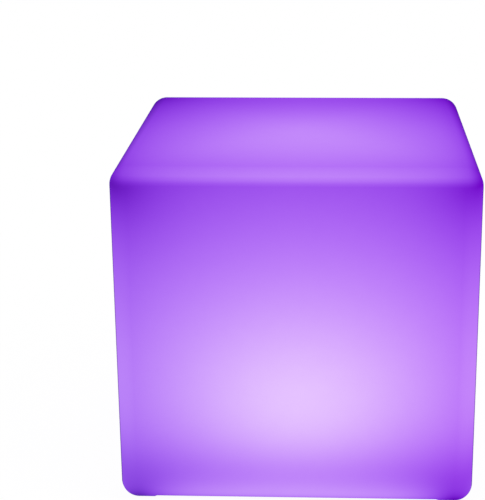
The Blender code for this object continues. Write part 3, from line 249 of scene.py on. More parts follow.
# Push switch
SWITCH_Y = middle_of("switch_body", "y")
BEZEL_BOTTOM, SWITCH_TOP = ends_of("switch_body", "z")
BEZEL_TOP = SEAL_BOTTOM - FIT_GAP
SWITCH_END_WALL = 0.002
SWITCH_BORE_TOP = SWITCH_TOP - SWITCH_END_WALL
SWITCH_BEZEL_RADIUS = 0.0085
BEZEL_BEVEL = 0.0007
BEZEL_DISH_REACH = 0.0013
BEZEL_DISH_SLOPE = 0.0005
BEZEL_DISH_DEPTH = 0.0004
SWITCH_BARREL_RADIUS = 0.006
SWITCH_CHAMBER_RADIUS = 0.0049
SWITCH_NUT_WIDTH = 0.015
SWITCH_NUT_THICKNESS = 0.003
BUTTON_BOTTOM = ends_of("switch_button", "z")[0]
BUTTON_RADIUS = 0.0039
BUTTON_COLLAR_RADIUS = 0.0045
BUTTON_COLLAR_HEIGHT = 0.001
BUTTON_COLLAR_TOP = BEZEL_TOP + FIT_GAP + BUTTON_COLLAR_HEIGHT
BUTTON_STEM_RADIUS = 0.002
BUTTON_STEM_ROOM = 0.001
BUTTON_BEVEL = (0.0006, 0.0007)
BUTTON_RIM = 0.0014
BUTTON_DISH_DEPTH = 0.0005
BUTTON_TRAVEL = 0.0016
SPRING_RADIUS = 0.0033
SPRING_WIRE_RADIUS = 0.00025
SPRING_TURNS = 5

# Charging socket, and the thread that its barrel and the switch's share
JACK_Y = middle_of("charging_socket", "y")
JACK_FRONT, JACK_TOP = ends_of("charging_socket", "z")
JACK_BORE_DEPTH = 0.0095
JACK_BORE_TOP = JACK_FRONT + JACK_BORE_DEPTH
JACK_FLANGE_RADIUS = 0.0055
JACK_BARREL_RADIUS = 0.004
JACK_BORE_RADIUS = 0.0028
JACK_BEVEL = 0.0004
JACK_PIN_RADIUS = 0.001
JACK_PIN_INSET = 0.001
JACK_NUT_WIDTH = 0.011
JACK_NUT_THICKNESS = 0.0025
BARREL_THREAD = 0.0003
BARREL_PITCH = 0.0008
BARREL_END = 0.002

# Both nuts: how much of the width the flat face takes and how steeply the corners are turned down, the cut's
# overrun, and how far out and how deep the bore's lead-in goes
NUT_FACE_SHARE = 0.98
NUT_SLOPE_SHARE = 0.55
NUT_OVERRUN = 0.0001
NUT_LEAD_IN = (0.0004, 0.0003)

# Socket's cap and its anchor
CAP_TOP = JACK_FRONT - FIT_GAP
CAP_BOTTOM = ends_of("socket_cap", "z")[0]
CAP_RADIUS = 0.007
CAP_PLUG_RADIUS = 0.0024
CAP_PLUG_LENGTH = 0.0025
CAP_PLUG_WALL = 0.0008
CAP_ARM_WIDTH = 0.005
CAP_ARM_THICKNESS = 0.0014
CAP_TAB_LENGTH = 0.003
CAP_PLUG_BEAD = (0.0004, 0.0007)
CAP_PLUG_NECK = 0.0002
CAP_BEVEL = (0.0006, 0.0002)
CAP_DISH = 0.0003
CAP_RIB_COUNT = 28
CAP_RIB_SIZE = (0.0006, 0.0007, 0.0013)
CAP_RIB_HEIGHT = 0.0003
CAP_RIB_RISE = 0.00005
CAP_BAR_COUNT = 3
CAP_BAR_SIZE = (0.0005, 0.0036, 0.0004)
CAP_BAR_START = 0.0006
CAP_BAR_PITCH = 0.0009
CAP_BAR_DROP = 0.00075
CAP_BAR_EASE = 0.00015
CAP_ARM_LENGTH = 0.006
PIVOT_X = BOARD_X + CAP_RADIUS + CAP_ARM_LENGTH
ANCHOR_X = middle_of("cap_anchor", "x")
ANCHOR_HEAD_RADIUS = 0.003
ANCHOR_SHANK_RADIUS = 0.0014
ANCHOR_BARB_RADIUS = 0.0022
ANCHOR_BARB_HEIGHT = 0.0015
ANCHOR_BEVEL = (0.0008, 0.0006)

# Heat spreader, and the board of the LEDs
SPREADER_BOTTOM, SPREADER_TOP = ends_of("heat_spreader", "z")
SPREADER_RADIUS = ends_of("heat_spreader", "x")[1]
LIGHT_BOARD_BOTTOM, LIGHT_BOARD_TOP = ends_of("led_board", "z")
LIGHT_BOARD_RADIUS = ends_of("led_board", "x")[1]
LIGHT_SCREW_CIRCLE = circle_of("light_board_screw_1")
LIGHT_SCREW_TURN = math.radians(45)
LED_COUNT = 8
LED_CIRCLE = circle_of("led_1")
LED_SIDE = 0.005
LED_HEIGHT = 0.0016
LED_WELL_RADII = (0.0017, 0.0022)
LED_WELL_TOP = 0.002
RESIN_RADII = (0.0018, 0.00185)
RESIN_MIDDLE_Z = 0.0011
RESIN_EDGE_Z = 0.00125
LED_PAD_SIZE = (0.0010, 0.0009, 0.0005)
LED_PAD_PITCH = 0.0016
LED_PAD_OUT = 0.0024
LED_PAD_Z = 0.0002
RESISTOR_SIZE = (0.0012, 0.002, 0.0006)
RESISTOR_CIRCLE = 0.0155
RECEIVER_CASE_DEPTH = 0.0036
RECEIVER_LENS_RADIUS = 0.0024
RECEIVER_LENS_RISE = 0.0012
RECEIVER_LENS_DROP = 0.0035
RECEIVER_LENS_CROWN = ((0.0, 0.0008), (0.0019, 0.0018))

# Leads
LED_LEAD_Y = middle_of("led_lead", "y")
LEAD_RADIUS = 0.0012
LEAD_SWING = 0.014
WIRE_RADIUS = 0.00055
TWIST_PITCH = 0.007
BATTERY_JOINT = (-0.0065, 0.0054)
JOINT_FLANK = ((0.0013, 0.0), (0.0011, 0.0003), (0.0006, 0.0006))
JOINT_HEIGHT = 0.0007

# Meshes: the edges of round and turned pieces, and the corner past which a piece isn't smooth
ROUND_SEGMENTS = 128
SMOOTH_ANGLE = math.radians(35)

# How far the corners of a piece are eased, from the finest to the broadest
TINY_EASE = 0.0001
SMALL_PART_EASE = 0.00012
FINE_EASE = 0.0002
RUBBER_EASE = 0.00025
EASE = 0.0003
MOULDED_EASE = 0.0004
BROAD_EASE = 0.0005

# Shell mesh: rows of faces from the middle of a side to its edge
FLAT_ROWS = 9
RAMP_ROWS = 2
MARGIN_ROWS = 1
ROUND_ROWS = 12

# Boards' patterns: pitch of the tracks, length between their jogs, pitch of the tinned holes, and the
# lanes of the LED board's round tracks
TRACK_PITCH = 0.00085
TRACK_JOG = 0.0052
PAD_PITCH = 0.0026
ROUND_TRACKS = (-0.0042, 0.0, 0.0042)

# Marks in the finishes: where each is whole and where it ends, and how far out or in it lies
TRACK_EDGE = (0.0015, 0.0018)
WELD_SPOT = (0.0004, 0.0008)
WELD_OUT = 0.0013
CHIP_DIMPLE = (0.0004, 0.0006)
CHIP_DIMPLE_IN = 0.0013
LENS_CORE = (0.0002, 0.0019)
CREASE_REACH = 0.004
CROWN_GLOW_DROP = 0.004
CERAMIC_END = 0.00062

# The lamp's light on the shell's wall, the light scattered in the cavity, the glow's rise towards +X, and
# painted shade that darkens the top towards the back
GLOW_GAIN = 0.0477
LAMP_HEIGHT = 0.0194
LAMP_UPWARD = 7.75
SCATTERED_LIGHT = 9.0
SCATTERED_FALL = 0.25
SIDE_DRIFT = 0.29
TOP_SHADE_TO_BACK = 1.55

# What a place on the wall adds to the light or, below zero, holds back, and how far round it that reaches
UPRIGHT_EDGE = (-0.17, 0.060)
TOP_EDGE = (-0.36, 0.160)
FOOT_EDGE = (-1.0, 0.0245)
# Low on the wall: painted shade where the lamp housing blocks the lamp's light, and painted light that the
# floor bounces onto the wall's bottom edge
LOW_WALL_SHADE = (-0.995, 0.042)
FLOOR_BOUNCE = (8.9, 0.011)
FRONT_BRIM = (0.12, 0.011)
BACK_BRIM = (0.32, 0.050)

# How widely the top's edges blend at a corner, and how far in from the side a foot's shade lies
TOP_EDGE_BLEND = 0.06
FOOT_INSET = 0.020

# How much the glow darkens round the top corners, painted shade along the sides' roundings, and how each
# drifts across the stool
CORNER_Z = 0.3834
CORNER_REACH = 0.038
CORNER_HOLD = 0.735
CORNER_DRIFT = 0.475
CORNER_FRONT = 0.82
SIDE_BRIM_REACH = 0.010
SIDE_BRIM_SHADE = 0.6
SIDE_BRIM_SHADE_DRIFT = 0.5

# How much of the glow is kept, by how far the skin faces upwards
ROUNDING_STOPS = ((0.0, 1.0), (0.15, 0.88), (0.3, 0.9), (0.45, 0.98), (0.65, 1.0), (0.9, 0.86), (1.0, 0.81))

# The wall's slow mottle and fine grain: how much, and how large
WALL_MOTTLE = (0.02, 0.014)
WALL_GRAIN = (0.05, 0.0009)
WALL_EVEN = 0.965

# The violet: how green and blue follow red as the light grows, and how green drifts over the stool
GREEN_START = 0.147
GREEN_RISE = 1.278
GREEN_BEND = 0.258
BLUE_RISE = 5.28
TINT_ACROSS = 0.208
TINT_CLIMB = 0.181
TINT_LOW_ACROSS = 0.164
TINT_LOW = 0.014
TINT_REACH = 0.060

# The dark gloss that paints shade on the shell's roundings at a grazing view, and where it begins, by how far
# the skin faces up or down
GLOSS_STOPS = ((0.0, 0.71), (0.25, 0.84), (0.6, 0.88), (0.85, 0.85), (1.0, 0.80))
GLOSS_SPAN = 0.12
GLOSS_MOST = 0.75
RIM_SHADE_COLOUR = (0.045, 0.01, 0.22)
GLOSS_ROUGHNESS = 0.45

# Camera: placed by the photograph's outline
CAMERA_PLACE = (0.0453, -1.6497, 0.7669)
CAMERA_PITCH = math.radians(17.730)
CAMERA_YAW = math.radians(-2.429)
CAMERA_ROLL = math.radians(-0.320)
CAMERA_LENS = 102.525
CAMERA_SHIFT_X = -0.075

# Room: its light, the floor's colour, and the share of the floor that is plain white where it is seen,
# which grows to all of it over the shadow's reach
ROOM_LIGHT = 0.70
WHITE = (1.0, 1.0, 1.0)
FLOOR_COLOUR = (0.92, 0.92, 0.92)
FLOOR_REACH = 4.0
FLOOR_WHITE_SHARE = 0.96
FLOOR_SHADOW_REACH = (0.35, 1.0)
FLOOR_GAP = 0.0002
LAMPS_AIM = Vector((0.0, 0.0, 0.15))
SEEN_RAYS = ("Camera", "Glossy", "Transmission")


def is_vector(value):
    """True for a vector socket or a plain triple."""
    if isinstance(value, Wire):
        return value.socket.type == "VECTOR"
    return isinstance(value, (tuple, list, Vector))


def sum_node(operation, *constants, swapped=False):
    """An operator on wires, which adds the Math or Vector Math node that does its sum."""

    def operator(wire, *others):
        values = (*others, wire) if swapped else (wire, *others)
        return wire.graph.math(operation, *values, *constants)

    return operator


class Wire:
    """One output in a node tree, on which Python's arithmetic works."""

    def __init__(self, graph, socket):
        self.graph = graph
        self.socket = socket

    __add__ = sum_node("ADD")
    __radd__ = sum_node("ADD", swapped=True)
    __sub__ = sum_node("SUBTRACT")
    __rsub__ = sum_node("SUBTRACT", swapped=True)
    __mul__ = sum_node("MULTIPLY")
    __rmul__ = sum_node("MULTIPLY", swapped=True)
    __truediv__ = sum_node("DIVIDE")
    __rtruediv__ = sum_node("DIVIDE", swapped=True)
    __neg__ = sum_node("MULTIPLY", -1.0)
    __gt__ = sum_node("GREATER_THAN")
    __lt__ = sum_node("LESS_THAN")
    __abs__ = sum_node("ABSOLUTE")


class Graph:
    """A node tree, of a material or of a shape, that is built one node at a time."""

    def __init__(self, tree):
        self.tree = tree

    def plug(self, socket, value):
        """Links a socket to a wire, or gives it a value of its own."""
        if isinstance(value, Wire):
            self.tree.links.new(value.socket, socket)
        elif socket.type == "RGBA":
            socket.default_value = (*value, 1.0)
        elif socket.type == "VECTOR" and not is_vector(value):
            socket.default_value = (value, value, value)
        else:
            socket.default_value = value

    def node(self, kind, settings=None, inputs=None, output=0):
        """A node of that type: its settings first, then its sockets' values or links."""
        made = self.tree.nodes.new(kind)
        for name, value in (settings or {}).items():
            if name == "stops":
                self.set_stops(made.color_ramp, value)
            else:
                setattr(made, name, value)
        for name, value in (inputs or {}).items():
            self.plug(made.inputs[name], value)
        return Wire(self, made.outputs[output]) if made.outputs else made

    def set_stops(self, ramp, stops):
        """Gives a colour ramp its stops, from pairs of place and colour."""
        ramp.elements.remove(ramp.elements[-1])
        for number, (place, colour) in enumerate(stops):
            element = ramp.elements.new(place) if number else ramp.elements[0]
            element.position = place
            element.color = (*colour, 1.0)

    def math(self, operation, *values):
        """One Math node, or a Vector Math node where a value is a vector."""
        vector = any(is_vector(value) for value in values)
        kind = "ShaderNodeVectorMath" if vector else "ShaderNodeMath"
        output = "Value" if operation in ("LENGTH", "DOT_PRODUCT") else 0
        return self.node(kind, {"operation": operation}, dict(enumerate(values)), output)

    def least(self, first, *others):
        for other in others:
            first = self.math("MINIMUM", first, other)
        return first

    def most(self, first, *others):
        for other in others:
            first = self.math("MAXIMUM", first, other)
        return first

    def decay(self, distance, reach):
        """1 at no distance, falling off over reach."""
        return self.math("EXPONENT", distance / -reach)

    def hypot(self, *legs):
        return self.math("SQRT", sum(leg * leg for leg in legs))

    def parts(self, vector):
        """The x, y and z of a vector."""
        split = self.node("ShaderNodeSeparateXYZ", inputs={0: vector}).socket.node
        return [Wire(self, socket) for socket in split.outputs]

    def vector(self, x=0.0, y=0.0, z=0.0):
        return self.node("ShaderNodeCombineXYZ", inputs={0: x, 1: y, 2: z})

    def rays(self, *kinds):
        """1 for a ray of one of those kinds."""
        path = self.node("ShaderNodeLightPath").socket.node
        return self.most(*(Wire(self, path.outputs[f"Is {kind} Ray"]) for kind in kinds))

    def span(self, value, low, high, to_low=0.0, to_high=1.0, smooth=False):
        """Value's place between low and high, held at both ends."""
        kind = "SMOOTHSTEP" if smooth else "LINEAR"
        inputs = {"Value": value, "From Min": low, "From Max": high, "To Min": to_low, "To Max": to_high}
        return self.node("ShaderNodeMapRange", {"interpolation_type": kind, "clamp": True}, inputs)

    def within(self, value, full, none):
        """1 up to full, falling to 0 at none."""
        return self.span(value, full, none, 1.0, 0.0)


class Finish(Graph):
    """A material: one Principled shader, and whatever varies over the surface built in front of it."""

    def __init__(self, name, colour, roughness, **constants):
        self.material = bpy.data.materials.new(name)
        self.material.use_nodes = True
        super().__init__(self.material.node_tree)
        self.shader = self.tree.nodes["Principled BSDF"]
        self.feed(Base_Color=colour, Roughness=roughness, **constants)
        self.place = self.node("ShaderNodeTexCoord", output="Object")

    def feed(self, **sockets):
        """Sets or links the shader's own sockets."""
        for name, value in sockets.items():
            self.plug(self.shader.inputs[name.replace("_", " ")], value)

    def mix(self, share, first, second):
        """A colour between two colours."""
        return self.node("ShaderNodeMix", {"data_type": "RGBA"}, {0: share, 6: first, 7: second}, 2)

    def attribute(self, name):
        """A vector that the piece's mesh stores at each point."""
        return self.node("ShaderNodeAttribute", {"attribute_name": name}, output="Vector")

    def noise(self, size, detail=2.0, place=None):
        """Soft noise whose patches are about size across."""
        inputs = {"Vector": place or self.place, "Scale": 1.0 / size, "Detail": detail}
        return self.node("ShaderNodeTexNoise", {}, inputs, "Fac")

    def uneven(self, noise, low, high):
        """A level that wanders between low and high with the noise."""
        return self.span(noise, 0.3, 0.7, low, high)

    def ramp(self, value, *stops):
        """A colour picked by value, from pairs of place and colour."""
        return self.node("ShaderNodeValToRGB", {"stops": stops}, {"Fac": value})

    def levels(self, value, stops):
        """A level picked by value, from pairs of place and level."""
        return self.ramp(value, *((place, (level, level, level)) for place, level in stops))

    def tone(self, noise, share, colour):
        """A colour that sinks with the noise to a share of itself."""
        self.feed(Base_Color=self.mix(noise, tuple(share * level for level in colour), colour))

    def bump(self, height, depth):
        """Raises the surface by up to depth where height is 1."""
        inputs = {"Strength": 1.0, "Distance": depth, "Height": height}
        self.feed(Normal=self.node("ShaderNodeBump", {}, inputs))

    def marks(self, noise, roughness, depth):
        """Fine marks that the light catches, as tools leave them on metal."""
        self.feed(Roughness=self.uneven(noise, roughness - 0.08, roughness + 0.1))
        self.bump(noise, depth)


def plain(*colour):
    """A colour as the eye names it, as the light level that Blender mixes."""
    return tuple(c / 12.92 if c <= 0.04045 else ((c + 0.055) / 1.055) ** 2.4 for c in colour)


# Shapes


def new_piece(name, data):
    made = bpy.data.objects.new(name, data)
    bpy.context.scene.collection.objects.link(made)
    return made


def from_bmesh(name, bm):
    """A piece of a finished bmesh, which it frees."""
    mesh = bpy.data.meshes.new(name)
    bm.to_mesh(mesh)
    bm.free()
    return new_piece(name, mesh)


def settle(piece):
    """Turns a piece and its modifiers into one plain mesh."""
    bpy.context.view_layer.update()
    graph = bpy.context.evaluated_depsgraph_get()
    mesh = bpy.data.meshes.new_from_object(piece.evaluated_get(graph))
    mesh.name = piece.name
    piece.modifiers.clear()
    piece.data = mesh
    return piece


def smooth(piece):
    """Smooth over its curves and sharp at its corners."""
    piece.data.shade_smooth()
    piece.data.set_sharp_from_angle(angle=SMOOTH_ANGLE)
    return piece


def carve(piece, *cutters, operation="DIFFERENCE"):
    """Cuts solids out of a piece, or fuses them on, and leaves one plain mesh."""
    for cutter in cutters:
        step = piece.modifiers.new(cutter.name, "BOOLEAN")
        step.operation = operation
        step.solver = "EXACT"
        step.object = cutter
    settle(piece)
    for cutter in cutters:
        bpy.data.objects.remove(cutter, do_unlink=True)
    return piece


def circle_places(count, radius, turn=0.0):
    """Points evenly round a circle about the origin."""
    angles = [turn + math.tau * i / count for i in range(count)]
    return [(radius * math.cos(angle), radius * math.sin(angle)) for angle in angles]


def arc(x, z, across, up, first, last, steps):
    """Points along an ellipse about (x, z), from one angle to another."""
    angles = [first + (last - first) * i / steps for i in range(steps + 1)]
    return [(x + across * math.cos(angle), z + up * math.sin(angle)) for angle in angles]


def lathe(name, profile, segments=96):
    """A closed solid turned about the upright axis, from (radius, height) points round its half section."""
    bm = bmesh.new()
    rings = []
    for radius, height in profile:
        places = circle_places(segments, radius) if radius else [(0.0, 0.0)]
        rings.append([bm.verts.new((x, y, height)) for x, y in places])
    for lower, upper in zip(rings, rings[1:] + rings[:1]):
        if len(lower) == len(upper) == 1:
            continue
        for i in range(segments):
            j = (i + 1) % segments
            corners = [ring[k % len(ring)] for ring, k in ((lower, i), (lower, j), (upper, j), (upper, i))]
            bm.faces.new(list(dict.fromkeys(corners)))
    bmesh.ops.recalc_face_normals(bm, faces=bm.faces[:])
    return from_bmesh(name, bm)


def soften(profile, reach=EASE, steps=3):
    """Rounds every corner of a half section but those on its axis."""
    made = []
    for number, point in enumerate(profile):
        if not point[0]:
            made.append(point)
            continue
        here = Vector(point)
        back = Vector(profile[number - 1]) - here
        on = Vector(profile[(number + 1) % len(profile)]) - here
        first = here + back.normalized() * min(reach, 0.4 * back.length)
        last = here + on.normalized() * min(reach, 0.4 * on.length)
        for i in range(steps + 1):
            t = i / steps
            made.append(tuple(first * (1 - t) ** 2 + here * (2 * t * (1 - t)) + last * t**2))
    return made


def turned(name, profile, segments=64, reach=EASE):
    """A lathe piece with its corners eased."""
    return lathe(name, soften(profile, reach), segments)


def disc(name, radius, bottom, top, reach=EASE):
    """A flat round plate with its edges eased."""
    return turned(name, [(0, top), (radius, top), (radius, bottom), (0, bottom)], ROUND_SEGMENTS, reach)


def rods(name, *groups, segments=32):
    """Upright cylinders as one mesh, from groups of (places, bottom, top, radius)."""
    bm = bmesh.new()
    for places, bottom, top, radius in groups:
        sizes = {"radius1": radius, "radius2": radius, "depth": top - bottom}
        for x, y in places:
            made = bmesh.ops.create_cone(bm, cap_ends=True, segments=segments, **sizes)
            bmesh.ops.translate(bm, verts=made["verts"], vec=(x, y, (bottom + top) / 2))
    return from_bmesh(name, bm)


def block(name, size, edge, place=(0.0, 0.0, 0.0), segments=2):
    """A box with rounded edges, about its place."""
    bm = bmesh.new()
    bmesh.ops.create_cube(bm, size=1.0)
    bmesh.ops.scale(bm, vec=size, verts=bm.verts)
    bmesh.ops.bevel(bm, geom=bm.edges[:], offset=edge, segments=segments, profile=0.5, affect="EDGES")
    bmesh.ops.translate(bm, vec=place, verts=bm.verts)
    return from_bmesh(name, bm)


def prism(name, outline, bottom, top, taper=1.0):
    """An upright prism over an outline of (x, y), drawn in by taper at its bottom."""
    bm = bmesh.new()
    low = [bm.verts.new((x * taper, y * taper, bottom)) for x, y in outline]
    high = [bm.verts.new((x, y, top)) for x, y in outline]
    for i in range(len(outline)):
        j = (i + 1) % len(outline)
        bm.faces.new((low[i], low[j], high[j], high[i]))
    bm.faces.new(low)
    bm.faces.new(high)
    bmesh.ops.recalc_face_normals(bm, faces=bm.faces[:])
    return from_bmesh(name, bm)


def merged(name, *pieces):
    """Several pieces as one mesh."""
    bm = bmesh.new()
    for piece in pieces:
        bm.from_mesh(piece.data)
        bpy.data.objects.remove(piece, do_unlink=True)
    return from_bmesh(name, bm)


def shift(x=0.0, y=0.0, z=0.0):
    return Matrix.Translation((x, y, z))


def moved(piece, *steps):
    """Moves or turns a piece's mesh, by one step after another."""
    for step in steps:
        piece.data.transform(step)
    piece.data.update()
    return piece


def keep_local(piece):
    """Stores each point's place on the pattern itself, which its finish reads on every copy."""
    places = piece.data.attributes.new("local", "FLOAT_VECTOR", "POINT")
    for number, vertex in enumerate(piece.data.vertices):
        places.data[number].vector = vertex.co
    return piece


QUARTER = math.pi / 2
HEAD_DOWN = Matrix.Rotation(math.pi, 4, "X")
LIE_ALONG_Y = Matrix.Rotation(-QUARTER, 4, "X")
AXIS = [(0.0, 0.0)]
SWITCH_PLACE = (BOARD_X, SWITCH_Y)
JACK_PLACE = (BOARD_X, JACK_Y)
BOARD_POSTS = [(BOARD_X, -POST_Y), (BOARD_X, POST_Y)]
FLANGE_SCREWS = circle_places(FLANGE_SCREW_COUNT, FLANGE_SCREW_CIRCLE)
HOUSING_POSTS = circle_places(HOUSING_POST_COUNT, HOUSING_POST_CIRCLE)
LIGHT_SCREWS = circle_places(2, LIGHT_SCREW_CIRCLE, LIGHT_SCREW_TURN)
BRACKET_SCREWS = [(PACK_X + side * (PACK_WIDTH / 2 + BRACKET_REACH), 0.0) for side in (-1, 1)]


class Shape(Graph):
    """A Geometry Nodes tree with named sizes, which grows one plain mesh."""

    KINDS = {int: "Int", float: "Float", bpy.types.Object: "Object", bpy.types.Material: "Material"}

    def __init__(self, name, **sizes):
        tree = bpy.data.node_groups.new(name + "_rule", "GeometryNodeTree")
        super().__init__(tree)
        self.name = name
        self.sizes = {size.replace("_", " ").capitalize(): value for size, value in sizes.items()}
        for way in ("OUTPUT", "INPUT"):
            tree.interface.new_socket("Geometry", in_out=way, socket_type="NodeSocketGeometry")
        for size, value in self.sizes.items():
            kind = next(kind for made_of, kind in self.KINDS.items() if isinstance(value, made_of))
            tree.interface.new_socket(size, in_out="INPUT", socket_type="NodeSocket" + kind)
        self.entry = tree.nodes.new("NodeGroupInput")

    def size(self, name):
        """A named size, or the mesh that the piece starts from, as a wire."""
        return Wire(self, self.entry.outputs[name.replace("_", " ").capitalize()])

    def copies(self, points, rotation=0.0):
        """A copy of the pattern on each point."""
        copy = self.node("GeometryNodeObjectInfo", {}, {"Object": self.size("pattern")}, "Geometry")
        inputs = {"Points": points, "Instance": copy}
        if rotation:
            inputs["Rotation"] = rotation
        return self.node("GeometryNodeInstanceOnPoints", {}, inputs)

    def grow(self, geometry, points=(), edges=()):
        """Ends the tree in geometry and returns the piece that it makes, as a plain mesh."""
        solid = self.node("GeometryNodeRealizeInstances", {}, {0: geometry})
        inputs = {"Geometry": solid, "Material": self.size("finish")}
        coated = self.node("GeometryNodeSetMaterial", {}, inputs)
        self.node("NodeGroupOutput", {}, {0: coated})
        mesh = bpy.data.meshes.new(self.name)
        mesh.from_pydata([tuple(point) for point in points], list(edges), [])
        piece = new_piece(self.name, mesh)
        step = piece.modifiers.new("shape", "NODES")
        step.node_group = self.tree
        for item in self.tree.interface.items_tree:
            if item.in_out == "INPUT" and item.name in self.sizes:
                step[item.identifier] = self.sizes[item.name]
        settle(piece)
        if "Pattern" in self.sizes:
            bpy.data.objects.remove(self.sizes["Pattern"], do_unlink=True)
        return piece


def ring_of(name, pattern, finish, count, radius, turn=0.0):
    """Copies of a pattern evenly round the upright axis, each turned to face outwards."""
    shape = Shape(name, count=count, radius=radius, turn=turn, pattern=pattern, finish=finish)
    inputs = {"Vertices": shape.size("count"), "Radius": shape.size("radius")}
    circle = shape.node("GeometryNodeMeshCircle", {}, inputs)
    angle = shape.node("GeometryNodeInputIndex") / shape.size("count") * math.tau
    copies = shape.copies(circle, shape.vector(z=angle))
    inputs = {"Geometry": copies, "Rotation": shape.vector(z=shape.size("turn"))}
    return shape.grow(shape.node("GeometryNodeTransform", {}, inputs))


def copies_at(name, pattern, finish, places):
    """Copies of a pattern at a list of places."""
    shape = Shape(name, pattern=pattern, finish=finish)
    return shape.grow(shape.copies(shape.size("geometry")), places)


def coil(name, finish, radius, wire, turns, bottom, top, sides=8, steps=24):
    """A wire wound evenly round the upright axis. With four sides it is the ridge of a screw thread."""
    sizes = {"radius": radius, "wire": wire, "turns": float(turns), "rise": top - bottom, "bottom": bottom}
    shape = Shape(name, **sizes, sides=sides, finish=finish)
    inputs = {"Resolution": steps, "Rotations": shape.size("turns"), "Height": shape.size("rise")}
    inputs.update({"Start Radius": shape.size("radius"), "End Radius": shape.size("radius")})
    line = shape.node("GeometryNodeCurveSpiral", {}, inputs)
    level = shape.node("GeometryNodeSetCurveNormal", {"mode": "Z_UP"}, {"Curve": line})
    inputs = {"Resolution": shape.size("sides"), "Radius": shape.size("wire")}
    section = shape.node("GeometryNodeCurvePrimitiveCircle", {}, inputs)
    inputs = {"Curve": level, "Profile Curve": section, "Fill Caps": True}
    wound = shape.node("GeometryNodeCurveToMesh", {}, inputs)
    inputs = {"Geometry": wound, "Translation": shape.vector(z=shape.size("bottom"))}
    return shape.grow(shape.node("GeometryNodeTransform", {}, inputs))


def strands(name, finish, routes, phase):
    """One wire of a twisted pair along each route."""
    shape = Shape(name, wire=WIRE_RADIUS, pitch=TWIST_PITCH, phase=phase, finish=finish)
    line = shape.node("GeometryNodeMeshToCurve", {}, {0: shape.size("geometry")})
    eased = shape.node("GeometryNodeCurveSplineType", {"spline_type": "CATMULL_ROM"}, {"Curve": line})
    inputs = {"Curve": eased, "Length": WIRE_RADIUS * 1.2}
    even = shape.node("GeometryNodeResampleCurve", {"mode": "LENGTH"}, inputs)
    along = shape.node("GeometryNodeSplineParameter", output="Length")
    turn = along / shape.size("pitch") * math.tau + shape.size("phase")
    spun = shape.node("GeometryNodeSetCurveTilt", {}, {"Curve": even, "Tilt": turn})
    inputs = {"Resolution": 10, "Radius": shape.size("wire")}
    section = shape.node("GeometryNodeCurvePrimitiveCircle", {}, inputs)
    aside = shape.vector(shape.size("wire") * 1.08)
    beside = shape.node("GeometryNodeTransform", {}, {"Geometry": section, "Translation": aside})
    inputs = {"Curve": spun, "Profile Curve": beside, "Fill Caps": True}
    points = []
    edges = []
    for route in routes:
        edges += [(len(points) + i, len(points) + i + 1) for i in range(len(route) - 1)]
        points += route
    return shape.grow(shape.node("GeometryNodeCurveToMesh", {}, inputs), points, edges)


def rounded_cube(name, side, height, radius, lift, finish):
    """A cube with every edge rounded, its underside raised by lift between its four corner feet. Each point
    of a plain gridded cube goes out from the nearest point of an inner block, by the radius."""
    shape = Shape(name, side=side, height=height, edge_radius=radius, foot_lift=lift, finish=finish)
    half_rows = FLAT_ROWS + RAMP_ROWS + MARGIN_ROWS + ROUND_ROWS
    count = 2 * half_rows + 1
    sizes = {"Size": (2.0, 2.0, 2.0), "Vertices X": count, "Vertices Y": count, "Vertices Z": count}
    cube = shape.node("GeometryNodeMeshCube", {}, sizes, "Mesh")
    edge = shape.size("edge_radius")
    half_side = shape.size("side") * 0.5
    half_height = shape.size("height") * 0.5
    foot = half_side - FOOT_REACH
    flat_rows = half_rows - ROUND_ROWS

    def spread(place, marks):
        """Moves evenly spaced rows to the marks: pairs of a row number and a distance from the middle."""
        rows = abs(place) * half_rows
        total = 0.0
        last_row, last_reach = 0, 0.0
        for row, reach in marks:
            total = total + shape.span(rows, last_row, row) * (reach - last_reach)
            last_row, last_reach = row, reach
        turn = shape.span(abs(place), flat_rows / half_rows, 1.0, 0.0, math.pi / 4)
        return shape.math("SIGN", place) * (total + edge * shape.math("TANGENT", turn))

    x, y, z = shape.parts(shape.node("GeometryNodeInputPosition"))
    level = ((FLAT_ROWS, foot - FOOT_RAMP), (FLAT_ROWS + RAMP_ROWS, foot), (flat_rows, half_side - edge))
    upright = ((flat_rows, half_height - edge),)
    point = shape.vector(spread(x, level), spread(y, level), spread(z, upright))
    core = shape.vector(half_side - edge, half_side - edge, half_height - edge)
    inner = shape.math("MAXIMUM", shape.math("MINIMUM", point, core), -core)
    skin = inner + shape.math("NORMALIZE", point - inner) * edge
    px, py, pz = shape.parts(skin + shape.vector(0.0, 0.0, half_height))
    raised = shape.span(shape.least(abs(px), abs(py)), foot - FOOT_RAMP, foot, 1.0, 0.0, smooth=True)
    lifted = shape.vector(px, py, pz + raised * shape.within(pz, 0.0, edge) * shape.size("foot_lift"))
    return shape.grow(shape.node("GeometryNodeSetPosition", {}, {"Geometry": cube, "Position": lifted}))


# Finishes


def skin_normal(made):
    """The way the shell's skin faces, told by its rounded box, and by the mesh where the box is cut."""
    half = SHELL_SIDE / 2
    core = (half - SHELL_EDGE_RADIUS, half - SHELL_EDGE_RADIUS, SHELL_HEIGHT / 2 - SHELL_EDGE_RADIUS)
    centred = made.place - (0.0, 0.0, SHELL_HEIGHT / 2)
    inner = made.math("MAXIMUM", made.math("MINIMUM", centred, core), tuple(-c for c in core))
    outward = centred - inner
    on_skin = made.math("LENGTH", outward) > SHELL_EDGE_RADIUS - FOOT_HEIGHT * 2
    facing = made.node("ShaderNodeNewGeometry", output="Normal")
    return facing + (made.math("NORMALIZE", outward) - facing) * on_skin


